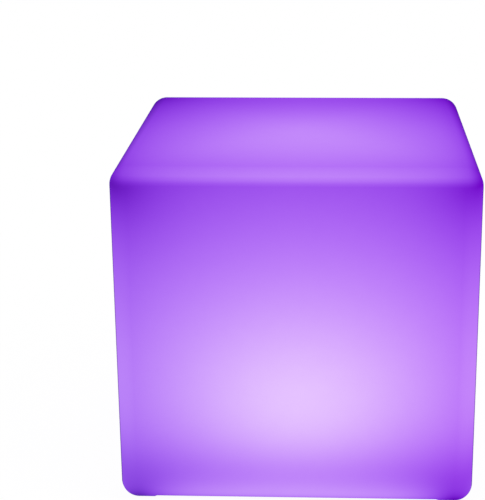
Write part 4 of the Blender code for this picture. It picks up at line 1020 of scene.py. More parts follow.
def light_inside(made, normal):
    """The lamp's light that reaches the inside of the wall, and the light scattered in the cavity."""
    ray = made.place - (0.0, 0.0, LAMP_HEIGHT)
    far = made.math("LENGTH", ray)
    slant = made.most(made.math("DOT_PRODUCT", normal, ray) / far, 0.0)
    x, y, z = made.parts(made.place)
    rise = (z - LAMP_HEIGHT) / far
    aimed = made.most((1.0 + LAMP_UPWARD * rise) / (1.0 + LAMP_UPWARD), 0.0)
    scattered = SCATTERED_LIGHT * (1.0 - SCATTERED_FALL * (z / SHELL_HEIGHT - 0.5))
    return slant * aimed / (far * far) + scattered


def light_outside(made, normal):
    """That light darkened towards the wall's edges, top corners and feet, with painted shade low on the wall,
    on the sides' roundings and towards the back of the top, painted light from the floor on its bottom edge,
    and a rise towards +X over the stool.
    """
    half = SHELL_SIDE / 2
    x, y, z = made.parts(made.place)
    nx, ny, nz = made.parts(normal)
    upward = made.most(nz, 0.0)
    from_side = half - abs(x)
    from_front = half - abs(y)
    above_floor = made.most(z, FOOT_HEIGHT)
    upright = made.hypot(from_side, from_front)
    top_edge = made.hypot(SHELL_HEIGHT - z, made.math("SMOOTH_MIN", from_side, from_front, TOP_EDGE_BLEND))
    front_share = 1.0 - CORNER_FRONT * upward * made.within(y, -half, 0.0)
    # Painted shade along the roundings over the sides, on skin that faces upwards
    side_shade = (SIDE_BRIM_SHADE + SIDE_BRIM_SHADE_DRIFT * x) * upward
    light = light_inside(made, normal)
    for distance, share, reach in (
        (upright, *UPRIGHT_EDGE),
        (top_edge, *TOP_EDGE),
        (made.hypot(upright, z - CORNER_Z), (CORNER_DRIFT * x - CORNER_HOLD) * front_share, CORNER_REACH),
        (made.hypot(from_side - FOOT_INSET, from_front, z), *FOOT_EDGE),
        (above_floor, *LOW_WALL_SHADE),
        (above_floor, *FLOOR_BOUNCE),
        (from_front, FRONT_BRIM[0] * upward, FRONT_BRIM[1]),
        (from_side, -side_shade, SIDE_BRIM_REACH),
        (half - y, BACK_BRIM[0] * upward, BACK_BRIM[1]),
    ):
        light = light * (1.0 + share * made.decay(distance, reach))
    light = light * made.levels(upward, ROUNDING_STOPS) * (1.0 - side_shade * nx * nx)
    # Painted shade that darkens the top towards the back, and the glow's rise towards +X
    light = light * made.math("EXPONENT", y * upward * -TOP_SHADE_TO_BACK) * (1.0 + SIDE_DRIFT * x)
    mottle, mottle_size = WALL_MOTTLE
    grain, grain_size = WALL_GRAIN
    return light * (WALL_EVEN + mottle * made.noise(mottle_size, 3.0) + grain * made.noise(grain_size, 1.0))


def violet(made, level):
    """The colour of the glow at a level of light."""
    x, y, z = made.parts(made.place)
    low = made.decay(made.most(z, FOOT_HEIGHT), TINT_REACH)
    green = level * (level * (GREEN_RISE - GREEN_BEND * level) - GREEN_START)
    drift = x * (TINT_CLIMB / SHELL_HEIGHT * z - TINT_ACROSS + TINT_LOW_ACROSS * low) + TINT_LOW * low
    blue = 1.0 - made.math("EXPONENT", level * -BLUE_RISE)
    return made.vector(level, made.most(made.most(green, 0.0) + drift, 0.0), blue)


def painted_rim_shade(made, level, amount):
    """A dark violet gloss that takes over at a grazing view on the roundings: painted shade along the shell's
    silhouettes.
    """
    weight = made.node("ShaderNodeLayerWeight", {}, {"Blend": 0.5}, "Facing")
    start = made.levels(level, GLOSS_STOPS)
    share = made.span(weight, start, start + GLOSS_SPAN) * amount * GLOSS_MOST
    gloss = made.node("ShaderNodeBsdfGlossy", {}, {"Color": RIM_SHADE_COLOUR, "Roughness": GLOSS_ROUGHNESS})
    body = Wire(made, made.shader.outputs[0])
    both = made.node("ShaderNodeMixShader", {}, {0: share, 1: body, 2: gloss})
    made.plug(made.tree.nodes["Material Output"].inputs["Surface"], both)


def lit_polyethylene():
    """The shell's milky wall with the violet lamp on behind it."""
    made = Finish("lit_polyethylene", (0.008, 0.0015, 0.018), 0.5, Specular_IOR_Level=0.0)
    normal = skin_normal(made)
    level = light_outside(made, normal) * GLOW_GAIN
    made.feed(Emission_Color=violet(made, level), Emission_Strength=1.0)
    nx, ny, nz = (abs(part) for part in made.parts(normal))
    # Painted shade: a dark gloss darkens the glow on the roundings at a grazing view
    painted_rim_shade(made, nz, made.span(made.most(nx, ny, nz), 0.9999, 0.998))
    return made.material


def grained(name, colour, roughness, grain, depth, drift=0.08):
    """A moulded plastic or rubber: a fine grain, and a slow drift in its tone and its gloss."""
    made = Finish(name, colour, roughness)
    made.tone(made.noise(grain * 40, 3.0), 1.0 - drift, colour)
    made.feed(Roughness=made.uneven(made.noise(grain * 14), roughness - 0.07, roughness + 0.07))
    made.bump(made.noise(grain, 1.0), depth)
    return made


def metal(name, colour, roughness):
    return Finish(name, colour, roughness, Metallic=1.0)


def lathe_turned(name, colour, roughness, fine=0.00012):
    """A metal with the fine rings that turning leaves round the piece's own axis."""
    made = metal(name, colour, roughness)
    x, y, z = made.parts(made.attribute("local"))
    rings = made.noise(1.0, place=made.vector(made.hypot(x, y) / fine, 0.0, z / fine))
    made.tone(made.noise(0.0016), 0.82, colour)
    made.marks(rings, roughness, 0.000006)
    return made


def brushed(name, colour, roughness, along=(1.0, 0.0, 0.0)):
    """A metal sheet with fine scratches that run along one way."""
    made = metal(name, colour, roughness)
    stretch = tuple(60.0 if share else 9000.0 for share in along)
    scratches = made.noise(1.0, 3.0, made.place * stretch)
    made.tone(scratches, 0.85, colour)
    made.marks(scratches, roughness, 0.000005)
    return made


@cache
def white_abs():
    return grained("white_abs", (0.76, 0.76, 0.74), 0.42, 0.0005, 0.00003, 0.05).material


@cache
def frosted_cover():
    """Milky polycarbonate over the LEDs, brightest at its crown."""
    made = grained("frosted_cover", (0.20, 0.18, 0.24), 0.5, 0.0007, 0.00004)
    x, y, z = made.parts(made.place)
    crown = made.span(z, DOME_SPRING_Z - CROWN_GLOW_DROP, DOME_CROWN_Z, smooth=True)
    stops = ((0.0, plain(0.45, 0.20, 0.85)), (0.5, plain(0.72, 0.50, 0.98)), (1.0, plain(0.90, 0.78, 1.0)))
    made.feed(Emission_Color=made.ramp(crown, *stops), Emission_Strength=0.85)
    return made.material


@cache
def grey_silicone():
    return grained("grey_silicone", (0.42, 0.42, 0.43), 0.62, 0.0004, 0.00002).material


@cache
def black_rubber():
    """Satin rubber, with pale dust in patches."""
    made = grained("black_rubber", (0.022, 0.022, 0.023), 0.62, 0.0003, 0.00002)
    dust = made.span(made.noise(0.004, 4.0), 0.52, 0.75, 0.0, 0.5)
    made.feed(Base_Color=made.mix(dust, (0.018, 0.018, 0.019), (0.055, 0.053, 0.052)))
    return made.material


@cache
def stainless_turned():
    return lathe_turned("stainless_turned", (0.62, 0.62, 0.61), 0.26).material


@cache
def stainless_drawn():
    return brushed("stainless_drawn", (0.60, 0.60, 0.60), 0.30, (0.0, 0.0, 1.0)).material


@cache
def stainless_strip():
    return brushed("stainless_strip", (0.62, 0.62, 0.61), 0.28).material


@cache
def brass():
    return lathe_turned("brass", (0.72, 0.50, 0.20), 0.30).material


@cache
def aluminium():
    return lathe_turned("aluminium", (0.75, 0.76, 0.78), 0.36, 0.0002).material


@cache
def nickel():
    """Thin plated strip with a pair of weld marks over the middle of each cell."""
    made = brushed("nickel", (0.66, 0.64, 0.60), 0.30)
    x, y, z = made.parts(made.place)
    across = made.least(*(abs(abs(x - middle) - WELD_OUT) for middle in CELL_XS))
    mark = made.within(made.hypot(across, z - CELL_Z), *WELD_SPOT)
    made.feed(Base_Color=made.mix(mark, (0.66, 0.64, 0.60), (0.22, 0.20, 0.18)))
    made.bump(mark, -0.0001)
    return made.material


@cache
def white_board():
    """White solder mask over the round tracks that join the LEDs."""
    made = Finish("white_board", (0.78, 0.78, 0.78), 0.42)
    x, y, z = made.parts(made.place)
    out = made.hypot(x, y)
    gap = made.least(*(abs(out - LED_CIRCLE - lane) for lane in ROUND_TRACKS))
    track = made.within(gap, *TRACK_EDGE)
    made.feed(Base_Color=made.mix(track, (0.78, 0.78, 0.78), (0.69, 0.70, 0.71)))
    made.feed(Roughness=made.uneven(made.noise(0.002), 0.36, 0.48))
    made.bump(track, 0.00004)
    return made.material


@cache
def green_board():
    """Green solder mask over jogging tracks, with tinned holes here and there."""
    made = Finish("green_board", (0.02, 0.15, 0.055), 0.36)
    x, y, z = made.parts(made.place)
    height = y + z
    row = made.math("FLOOR", height / TRACK_JOG)
    jog = made.node("ShaderNodeTexWhiteNoise", {"noise_dimensions": "1D"}, {"W": row}, "Value")
    lane = made.math("FRACT", (x + 0.1) / TRACK_PITCH + made.math("FLOOR", jog * 4.0) * 0.5)
    track = made.within(abs(lane - 0.5), 0.24, 0.30)
    cell = made.vector(*(made.math("FLOOR", way / PAD_PITCH) for way in (x, height)))
    pick = made.node("ShaderNodeTexWhiteNoise", {"noise_dimensions": "3D"}, {"Vector": cell}, "Value")
    ring = made.hypot(*(made.math("FRACT", (way + 40 * PAD_PITCH) / PAD_PITCH) - 0.5 for way in (x, height)))
    pad, hole = (made.within(ring, *edge) * (pick > 0.7) for edge in ((0.13, 0.16), (0.05, 0.07)))
    mask = made.mix(track, (0.014, 0.115, 0.042), (0.03, 0.20, 0.075))
    coated = made.mix(pad, mask, (0.55, 0.54, 0.50))
    made.feed(Base_Color=made.mix(hole, coated, (0.02, 0.02, 0.02)), Metallic=pad * 0.9)
    made.bump(made.most(track, pad), 0.00003)
    return made.material


@cache
def led_package():
    return grained("led_package", (0.90, 0.89, 0.84), 0.36, 0.0004, 0.00001, 0.04).material


@cache
def led_lens():
    """The clear resin in an LED's well, lit violet."""
    made = Finish("led_lens", (0.30, 0.20, 0.50), 0.18)
    x, y, z = made.parts(made.attribute("local"))
    core = made.span(made.hypot(x, y), *LENS_CORE, smooth=True)
    stops = ((0.0, plain(1.0, 0.94, 1.0)), (0.45, plain(0.84, 0.62, 1.0)), (1.0, plain(0.55, 0.28, 0.95)))
    made.feed(Emission_Color=made.ramp(core, *stops), Emission_Strength=1.0)
    return made.material


@cache
def cell_sleeve():
    """Shrunk blue film, with fine wrinkles where it turns over the ends."""
    made = Finish("cell_sleeve", (0.03, 0.12, 0.42), 0.26, Coat_Weight=0.4)
    x, y, z = made.parts(made.place)
    end = made.span(abs(y), CELL_LENGTH / 2 - CREASE_REACH, CELL_LENGTH / 2, smooth=True)
    creases = made.noise(1.0, place=made.place * (2600.0, 260.0, 2600.0))
    made.feed(Base_Color=made.mix(made.noise(0.008, 3.0), (0.022, 0.10, 0.36), (0.035, 0.135, 0.46)))
    made.feed(Roughness=made.uneven(made.noise(0.003), 0.2, 0.36))
    made.bump(creases * (0.15 + end), 0.00012)
    return made.material


@cache
def cell_can():
    return brushed("cell_can", (0.62, 0.61, 0.59), 0.30, (0.0, 1.0, 0.0)).material


@cache
def black_plastic():
    return grained("black_plastic", (0.028, 0.028, 0.029), 0.44, 0.0004, 0.00002).material


@cache
def chip_epoxy():
    """The chip's matt black epoxy, with a dimple over its first leg."""
    made = grained("chip_epoxy", (0.03, 0.03, 0.032), 0.56, 0.00025, 0.000012)
    low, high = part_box("driver_chip")
    x, y, z = made.parts(made.place)
    corner = made.hypot(x - low.x - CHIP_DIMPLE_IN, y - low.y - CHIP_DIMPLE_IN)
    dimple = made.within(corner, *CHIP_DIMPLE)
    made.bump(-dimple, 0.0001)
    return made.material


@cache
def grey_plastic():
    return grained("grey_plastic", (0.20, 0.20, 0.21), 0.42, 0.0004, 0.00002).material


def sheath(name, colour):
    return grained(name, colour, 0.40, 0.0006, 0.00001, 0.12).material


@cache
def tinned():
    """Solder, bright with a little grain."""
    made = metal("tinned", (0.70, 0.70, 0.69), 0.28)
    made.feed(Roughness=made.uneven(made.noise(0.0004), 0.2, 0.4))
    made.bump(made.noise(0.0003), 0.00001)
    return made.material


@cache
def ceramic():
    """Small parts' tan ceramic, with tinned ends told by each part's own length."""
    made = Finish("ceramic", (0.45, 0.36, 0.26), 0.5)
    x, y, z = made.parts(made.attribute("local"))
    end = abs(y) > CERAMIC_END
    made.feed(Base_Color=made.mix(end, (0.30, 0.22, 0.15), (0.72, 0.72, 0.70)))
    made.feed(Metallic=end, Roughness=made.span(end, 0.0, 1.0, 0.6, 0.3))
    return made.material


# Pieces


def dress(piece, finish, *nodes, body="stool"):
    """Gives a finished piece its material and its body, and hides the CAD nodes that it stands for."""
    piece.data.materials.clear()
    piece.data.materials.append(finish)
    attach(piece, body)
    if nodes:
        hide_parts(*nodes)
    return piece


def numbered(name, count):
    """The CAD nodes name_1, name_2 and so on."""
    return [f"{name}_{number}" for number in range(1, count + 1)]


def shell():
    """The moulded cube: its rounded skin, the cavity, and the recess that takes the lamp unit."""
    finish = lit_polyethylene()
    body = rounded_cube("shell_body", SHELL_SIDE, SHELL_HEIGHT, SHELL_EDGE_RADIUS, FOOT_HEIGHT, finish)
    bottom = FOOT_HEIGHT + SHELL_WALL
    side, height = SHELL_SIDE - 2 * SHELL_WALL, SHELL_HEIGHT - SHELL_WALL - bottom
    cavity = rounded_cube("cavity", side, height, SHELL_EDGE_RADIUS - SHELL_WALL, 0.0, finish)
    moved(cavity, shift(z=bottom))
    drum = (AXIS, -CUT_OVERRUN, SEAT_Z + SHELL_WALL, RECESS_RADIUS + SHELL_WALL)
    hole_top = SEAT_Z + INSERT_LENGTH + FIT_GAP
    boss_top = hole_top + INSERT_BOSS_CAP
    bosses = rods("bosses", (FLANGE_SCREWS, SEAT_Z, boss_top, INSERT_BOSS_RADIUS))
    carve(cavity, rods("drum", drum, segments=ROUND_SEGMENTS), bosses)
    fillet = (RECESS_FILLET, RECESS_FILLET)
    mouth = RECESS_RADIUS + RECESS_FILLET
    inner = arc(RECESS_RADIUS - RECESS_FILLET, SEAT_Z - RECESS_FILLET, *fillet, QUARTER, 0.0, 6)
    lip = arc(mouth, FOOT_HEIGHT + RECESS_FILLET, *fillet, 2 * QUARTER, 3 * QUARTER, 6)
    profile = [(0.0, SEAT_Z), *inner, *lip, (mouth, -CUT_OVERRUN), (0.0, -CUT_OVERRUN)]
    recess = lathe("recess", profile, ROUND_SEGMENTS)
    low = SEAT_Z - CUT_OVERRUN
    through = (AXIS, low, boss_top + CUT_OVERRUN, OPENING_RADIUS)
    opening = rods("opening", through, segments=ROUND_SEGMENTS)
    holes = rods("holes", (FLANGE_SCREWS, low, hole_top, INSERT_RADIUS + FIT_GAP))
    dress(smooth(carve(body, cavity, recess, opening, holes)), finish, "cube_shell")


def pan_screw(shank, head, crown, length, finish):
    """A cross-head pan screw, its domed head up from z = 0 and its threaded shank down."""
    core = shank * 0.80
    dome = arc(0.0, crown * 0.30, head, crown * 0.70, 1.2, 0.0, 4)
    tip = [(core, shank - length), (core * 0.55, -length), (0.0, -length)]
    body = turned("screw_body", [(0.0, crown), *dome, (head, 0.0), (core, 0.0), *tip], 32, FINE_EASE)
    long, wide = head * 0.60, head * 0.13
    corners = [(long, -wide), (long, wide), (wide, wide)]
    cross = []
    for _ in range(4):
        cross += corners
        corners = [(-y, x) for x, y in corners]
    smooth(carve(body, prism("cross", cross, crown * 0.35, crown + CUT_OVERRUN / 2, 0.62)))
    turns = (length - shank * 1.2) / (shank * 0.42)
    thread = coil("thread", finish, core, shank - core, turns, shank - length, -shank * 0.2, 4, 18)
    return keep_local(merged("screw", body, thread))


def screws():
    """Every screw of the lamp unit."""
    finish = stainless_turned()
    large = (FLANGE_SCREW_RADIUS, FLANGE_SCREW_HEAD_RADIUS, FLANGE_SCREW_HEAD_HEIGHT, FLANGE_SCREW_LENGTH)
    small = (SMALL_SCREW_RADIUS, SMALL_SCREW_HEAD_RADIUS, SMALL_SCREW_HEAD_HEIGHT)
    for name, sizes, count, circle in (
        ("flange_screw", large, FLANGE_SCREW_COUNT, FLANGE_SCREW_CIRCLE),
        ("housing_screw", (*small, HOUSING_SCREW_LENGTH), HOUSING_POST_COUNT, HOUSING_POST_CIRCLE),
    ):
        screw = moved(pan_screw(*sizes, finish), HEAD_DOWN, shift(z=SCREW_SEAT_Z))
        dress(ring_of(name + "s", screw, finish, count, circle), finish, *numbered(name, count))
    for name, places, seat in (
        ("light_board_screw", LIGHT_SCREWS, LIGHT_BOARD_TOP + FIT_GAP),
        ("control_board_screw", BOARD_POSTS, BOARD_TOP + FIT_GAP),
        ("bracket_screw", BRACKET_SCREWS, BRACKET_BOSS_TOP + BRACKET_THICKNESS + 2 * FIT_GAP),
    ):
        screw = pan_screw(*small, BOARD_SCREW_LENGTH, finish)
        made = copies_at(name + "s", screw, finish, [(x, y, seat) for x, y in places])
        dress(made, finish, *numbered(name, len(places)))


def inserts():
    """Knurled brass inserts in the shell's bosses, two bands of ridges with a groove between."""
    finish = brass()
    middle, top = INSERT_LENGTH / 2, INSERT_LENGTH
    core = INSERT_RADIUS - KNURL_HEIGHT
    groove = core - INSERT_GROOVE_DEPTH
    near, far = INSERT_GROOVE_HALF, INSERT_GROOVE_HALF + INSERT_GROOVE_DEPTH
    lower = [(core, 0.0), (core, middle - far), (groove, middle - near)]
    upper = [(groove, middle + near), (core, middle + far), (core, top)]
    profile = [(FLANGE_HOLE_RADIUS, 0.0), *lower, *upper, (FLANGE_HOLE_RADIUS, top)]
    bands = [smooth(turned("insert_body", profile, 40, FINE_EASE))]
    for band in (middle - KNURL_OFFSET, middle + KNURL_OFFSET):
        ridge = block("ridge", KNURL_SIZE, KNURL_EASE, (0.0, 0.0, band), 1)
        bands.append(ring_of("ridges", ridge, finish, KNURL_COUNT, core))
    insert = moved(keep_local(merged("insert", *bands)), shift(z=SEAT_Z))
    made = ring_of("brass_inserts", insert, finish, FLANGE_SCREW_COUNT, FLANGE_SCREW_CIRCLE)
    dress(made, finish, *numbered("brass_insert", FLANGE_SCREW_COUNT))


def gasket():
    """The flat seal between the shell's seat and the flange, with a bead round each side of its holes."""
    inner, outer = OPENING_RADIUS + GASKET_INSET, FLANGE_RADIUS - GASKET_INSET
    low, high = GASKET_BOTTOM, GASKET_TOP
    flat = low + BEAD_HEIGHT
    lower = [(inner, flat)]
    for bead in (inner + BEAD_INSET, outer - BEAD_INSET):
        lower += [(bead - BEAD_HALF, flat), (bead, low), (bead + BEAD_HALF, flat)]
    ring = turned("flange_seal", [(inner, high), *lower, (outer, flat), (outer, high)], ROUND_SEGMENTS)
    holes = (FLANGE_SCREWS, low - CUT_OVERRUN, high + CUT_OVERRUN, FLANGE_HOLE_RADIUS)
    dress(smooth(carve(ring, rods("seal_holes", holes))), grey_silicone(), "flange_gasket")


def plate_additions():
    """What stands on the base plate: posts with gussets, bosses, and cradles for the cells."""
    root = PLATE_TOP - UNION_OVERLAP
    posts = (BOARD_POSTS, root, BOARD_BOTTOM - FIT_GAP, SMALL_BOSS_RADIUS)
    bosses = (BRACKET_SCREWS, root, BRACKET_BOSS_TOP, SMALL_BOSS_RADIUS)
    cradle = (PACK_WIDTH, CRADLE_THICKNESS, CRADLE_HEIGHT + UNION_OVERLAP)
    ribs = [(PACK_X, y, cradle) for y in (-CRADLE_Y, CRADLE_Y)]
    ribs += [(x + side * GUSSET_REACH, y, GUSSET_SIZE) for x, y in BOARD_POSTS for side in (1, -1)]
    standing = [block("rib", size, EASE, (x, y, root + size[2] / 2)) for x, y, size in ribs]
    return [rods("posts", posts, bosses), *standing]


def plate_holes():
    """The holes through the base plate and into its posts and bosses."""
    ends = (PLATE_BOTTOM - CUT_OVERRUN, PLATE_TOP + CUT_OVERRUN)
    post_tip = BOARD_TOP - BOARD_SCREW_LENGTH - PILOT_ROOM
    boss_tip = BRACKET_BOSS_TOP + FIT_GAP + BRACKET_THICKNESS - BOARD_SCREW_LENGTH - PILOT_ROOM
    return rods(
        "plate_holes",
        (FLANGE_SCREWS, *ends, FLANGE_HOLE_RADIUS),
        (HOUSING_POSTS, *ends, SMALL_HOLE_RADIUS),
        ([(ANCHOR_X, JACK_Y)], *ends, ANCHOR_SHANK_RADIUS + FIT_GAP),
        ([SWITCH_PLACE], *ends, SWITCH_BARREL_RADIUS + FIT_GAP),
        ([JACK_PLACE], *ends, JACK_BARREL_RADIUS + FIT_GAP),
        (BOARD_POSTS, post_tip, BOARD_BOTTOM + CUT_OVERRUN, SMALL_HOLE_RADIUS),
        (BRACKET_SCREWS, boss_tip, BRACKET_BOSS_TOP + CUT_OVERRUN, SMALL_HOLE_RADIUS),
        segments=40,
    )


def base_plate():
    """The round plate that closes the stool, with a rim below and a ring above that locates the housing."""
    groove, half = PLATE_GROOVE_RADIUS, PLATE_GROOVE_HALF
    rim_inner, rim_z = FLANGE_RADIUS - RIM_WIDTH, PLATE_BOTTOM - RIM_DROP
    ring_top = PLATE_TOP + RING_HEIGHT
    bore, edge = RING_BORE_RADIUS, RING_RADIUS
    ring = [(bore, PLATE_TOP), (bore, ring_top), (edge, ring_top), (edge, PLATE_TOP)]
    rim = [(FLANGE_RADIUS, PLATE_TOP), (FLANGE_RADIUS, rim_z), (rim_inner, rim_z), (rim_inner, PLATE_BOTTOM)]
    sunk = PLATE_BOTTOM + PLATE_SINK
    relief = [(groove + half, PLATE_BOTTOM), (groove, sunk), (groove - half, PLATE_BOTTOM)]
    profile = [(0.0, PLATE_TOP), *ring, *rim, *relief, (0.0, PLATE_BOTTOM)]
    plate = turned("lamp_base_plate", profile, 160, MOULDED_EASE)
    carve(plate, *plate_additions(), operation="UNION")
    pads = rods("pads", (FLANGE_SCREWS, SCREW_SEAT_Z, sunk, PLATE_PAD_RADIUS))
    length, width, height = PLATE_RIB_SIZE
    middle = PLATE_BOTTOM + (PLATE_SINK - height) / 2
    rib = block("rib", (length, width, height + PLATE_SINK), EASE, (0.0, 0.0, middle))
    ribs = ring_of("ribs", rib, white_abs(), PLATE_RIB_COUNT, FLANGE_SCREW_CIRCLE, math.pi / PLATE_RIB_COUNT)
    carve(plate, pads, ribs, operation="UNION")
    carve(plate, plate_holes())
    cell = (AXIS, -CELL_LENGTH / 2, CELL_LENGTH / 2, CELL_RADIUS + FIT_GAP)
    hollows = [moved(rods("hollow", cell, segments=64), LIE_ALONG_Y, shift(x, 0.0, CELL_Z)) for x in CELL_XS]
    dress(smooth(carve(plate, *hollows)), white_abs(), "base_plate")


def housing():
    """The upturned can over the battery and boards, with screw posts inside and a neck for the dome."""
    bore, neck_bore = HOUSING_BORE_RADIUS, NECK_RADIUS - HOUSING_WALL
    outside = [(NECK_RADIUS, HOUSING_TOP), (NECK_RADIUS, NECK_Z), (HOUSING_RADIUS, NECK_Z)]
    rim = [(HOUSING_RADIUS, HOUSING_BOTTOM), (bore, HOUSING_BOTTOM), (bore, NECK_Z - HOUSING_WALL)]
    inside = [(neck_bore, NECK_Z), (neck_bore, CEILING_Z), (0.0, CEILING_Z)]
    can = turned("housing_can", [(0.0, HOUSING_TOP), *outside, *rim, *inside], 160, BROAD_EASE)
    low = CEILING_Z - CEILING_BOSS_DEPTH
    posts = (HOUSING_POSTS, HOUSING_BOTTOM, NECK_Z - UNION_OVERLAP, SMALL_BOSS_RADIUS)
    bosses = (LIGHT_SCREWS, low, CEILING_Z + UNION_OVERLAP, SMALL_BOSS_RADIUS)
    carve(can, rods("posts", posts, bosses), operation="UNION")
    pilot, top = PLATE_BOTTOM + HOUSING_SCREW_LENGTH + PILOT_ROOM, HOUSING_TOP + CUT_OVERRUN
    holes = rods(
        "housing_holes",
        (HOUSING_POSTS, HOUSING_BOTTOM - CUT_OVERRUN, pilot, SMALL_HOLE_RADIUS),
        (LIGHT_SCREWS, low - CUT_OVERRUN, top, SMALL_HOLE_RADIUS),
        ([(BOARD_X, LED_LEAD_Y)], CEILING_Z - CUT_OVERRUN, top, LEAD_RADIUS + FIT_GAP),
    )
    flute = rods("flute", (AXIS, *FLUTE_ENDS, FLUTE_RADIUS), segments=12)
    flutes = ring_of("flutes", flute, white_abs(), FLUTE_COUNT, HOUSING_RADIUS + FLUTE_OUT)
    dress(smooth(carve(can, holes, flutes)), white_abs(), "lamp_housing")


def dome():
    """The frosted cover over the LEDs, whose skirt fits round the housing's neck."""
    bore = HOUSING_RADIUS - DOME_WALL
    outside = arc(0.0, DOME_SPRING_Z, HOUSING_RADIUS, DOME_RISE, QUARTER, 0.0, 24)
    inside = arc(0.0, DOME_SPRING_Z, bore, DOME_RISE - DOME_WALL, 0.0, QUARTER, 24)
    skirt = [outside[-1], (HOUSING_RADIUS, DOME_SKIRT_Z), (bore, DOME_SKIRT_Z), inside[0]]
    edge = soften(skirt, BROAD_EASE)
    crown, ceiling = (0.0, DOME_CROWN_Z), (0.0, DOME_CROWN_Z - DOME_WALL)
    profile = [crown, *outside[1:-1], *edge, *inside[1:-1], ceiling]
    dress(smooth(lathe("frosted_dome", profile, 160)), frosted_cover(), "diffuser_dome")


def light_board():
    """The heat spreader, and the board of the LEDs on it."""
    ends = (HOUSING_TOP - CUT_OVERRUN, LIGHT_BOARD_TOP + CUT_OVERRUN)
    screw_holes = (LIGHT_SCREWS, *ends, SMALL_HOLE_RADIUS)
    lead_hole = ([(BOARD_X, LED_LEAD_Y)], *ends, LEAD_RADIUS + FIT_GAP)
    spreader = disc("spreader_disc", SPREADER_RADIUS, SPREADER_BOTTOM, SPREADER_TOP)
    carve(spreader, rods("spreader_holes", screw_holes, lead_hole))
    dress(keep_local(smooth(spreader)), aluminium(), "heat_spreader")
    board = disc("light_board", LIGHT_BOARD_RADIUS, LIGHT_BOARD_BOTTOM, LIGHT_BOARD_TOP, TINY_EASE)
    dress(smooth(carve(board, rods("light_board_holes", screw_holes))), white_board(), "led_board")


def leds():
    """The ring of LEDs with their wells of resin and their solder pads, and the ring of resistors."""
    half = LED_HEIGHT / 2
    package = block("package", (LED_SIDE, LED_SIDE, LED_HEIGHT), FINE_EASE, (0.0, 0.0, half))
    floor, mouth = LED_WELL_RADII
    well = [(0, half), (floor, half), (mouth, LED_WELL_TOP), (0, LED_WELL_TOP)]
    carve(package, lathe("well", well, 32))
    foot, edge = RESIN_RADII
    resin = lathe("resin", [(0, RESIN_MIDDLE_Z), (edge, RESIN_EDGE_Z), (foot, half), (0, half)], 32)
    smooth(moved(keep_local(resin), shift(z=SOLDER_GAP)))
    pads = [
        block("pad", LED_PAD_SIZE, TINY_EASE, (side * LED_PAD_OUT, step * LED_PAD_PITCH, LED_PAD_Z), 1)
        for side in (-1, 1)
        for step in (-1, 0, 1)
    ]
    resistor = keep_local(block("resistor", RESISTOR_SIZE, SMALL_PART_EASE))
    moved(resistor, shift(z=RESISTOR_SIZE[2] / 2))
    ring = (LED_CIRCLE, math.pi / LED_COUNT)
    for name, pattern, finish, place, nodes in (
        ("led_packages", smooth(package), led_package(), ring, numbered("led", LED_COUNT)),
        ("led_lenses", resin, led_lens(), ring, ()),
        ("led_pads", merged("pads", *pads), tinned(), ring, ()),
        ("led_resistors", resistor, ceramic(), (RESISTOR_CIRCLE,), ()),
    ):
        moved(pattern, shift(z=LIGHT_BOARD_TOP + SOLDER_GAP))
        dress(ring_of(name, pattern, finish, LED_COUNT, *place), finish, *nodes)


def receiver():
    """The infrared receiver, with the bulge of its lens in front."""
    low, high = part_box("infrared_receiver")
    size = (high.x - low.x, RECEIVER_CASE_DEPTH, high.z - low.z)
    place = (0.0, high.y - RECEIVER_CASE_DEPTH / 2, (low.z + high.z) / 2)
    body = block("receiver_case", size, MOULDED_EASE, place)
    root, radius = low.z + RECEIVER_LENS_RISE, RECEIVER_LENS_RADIUS
    crown = [(out, high.z - drop) for out, drop in RECEIVER_LENS_CROWN]
    side = [(radius, high.z - RECEIVER_LENS_DROP), (radius, root), (0.0, root)]
    lens = lathe("receiver_lens", [*crown, *side], 40)
    carve(body, moved(lens, shift(y=low.y + radius)), operation="UNION")
    dress(smooth(body), black_plastic(), "infrared_receiver")


def crimp(radius, z, reach, depth=CELL_GROOVE_DEPTH):
    """A groove rolled round a can, as points of its half section from above the groove to below."""
    return [(radius, z + reach), (radius - depth, z), (radius, z - reach)]


def battery():
    """Two cells in shrunk sleeves."""
    half = CELL_LENGTH / 2
    end = half - CELL_NUB_HEIGHT
    groove = end - CELL_GROOVE_IN
    edge, outer = CELL_RADIUS - SLEEVE_FILM, CELL_RADIUS
    nub, slope, shoulder = CELL_NUB_RADIUS, CELL_SHOULDER, end - CELL_SHOULDER_DROP
    lid = [(0.0, half), (nub, half), (nub + slope, end), (edge - slope, end)]
    side = [(edge, shoulder), *crimp(edge, groove, CELL_GROOVE_HALF), (edge, -half), (0.0, -half)]
    can = smooth(turned("can", [*lid, *side], 64))
    lap, gap, tail = outer - SLEEVE_LAP, SLEEVE_CLEARANCE, outer - SLEEVE_TAIL
    lip = [(lap, end + gap), (outer - SLEEVE_TURN, end + gap), (outer, end - slope)]
    foot = [(outer, -half), (tail, -half - gap / 2), (tail, -half + gap)]
    bore = edge - gap
    inner = [(bore, -half + gap), *reversed(crimp(bore, groove, SLEEVE_GROOVE_HALF)), (bore, end - slope)]
    profile = [*lip, *crimp(outer, groove, SLEEVE_GROOVE_HALF), *foot, *inner]
    sleeve = smooth(turned("sleeve", profile, 64, FINE_EASE))
    for name, pattern, finish, nodes in (
        ("cell_cans", can, cell_can(), ()),
        ("cell_sleeves", sleeve, cell_sleeve(), numbered("battery_cell", 2)),
    ):
        moved(pattern, LIE_ALONG_Y)
        dress(copies_at(name, pattern, finish, [(x, 0.0, CELL_Z) for x in CELL_XS]), finish, *nodes)


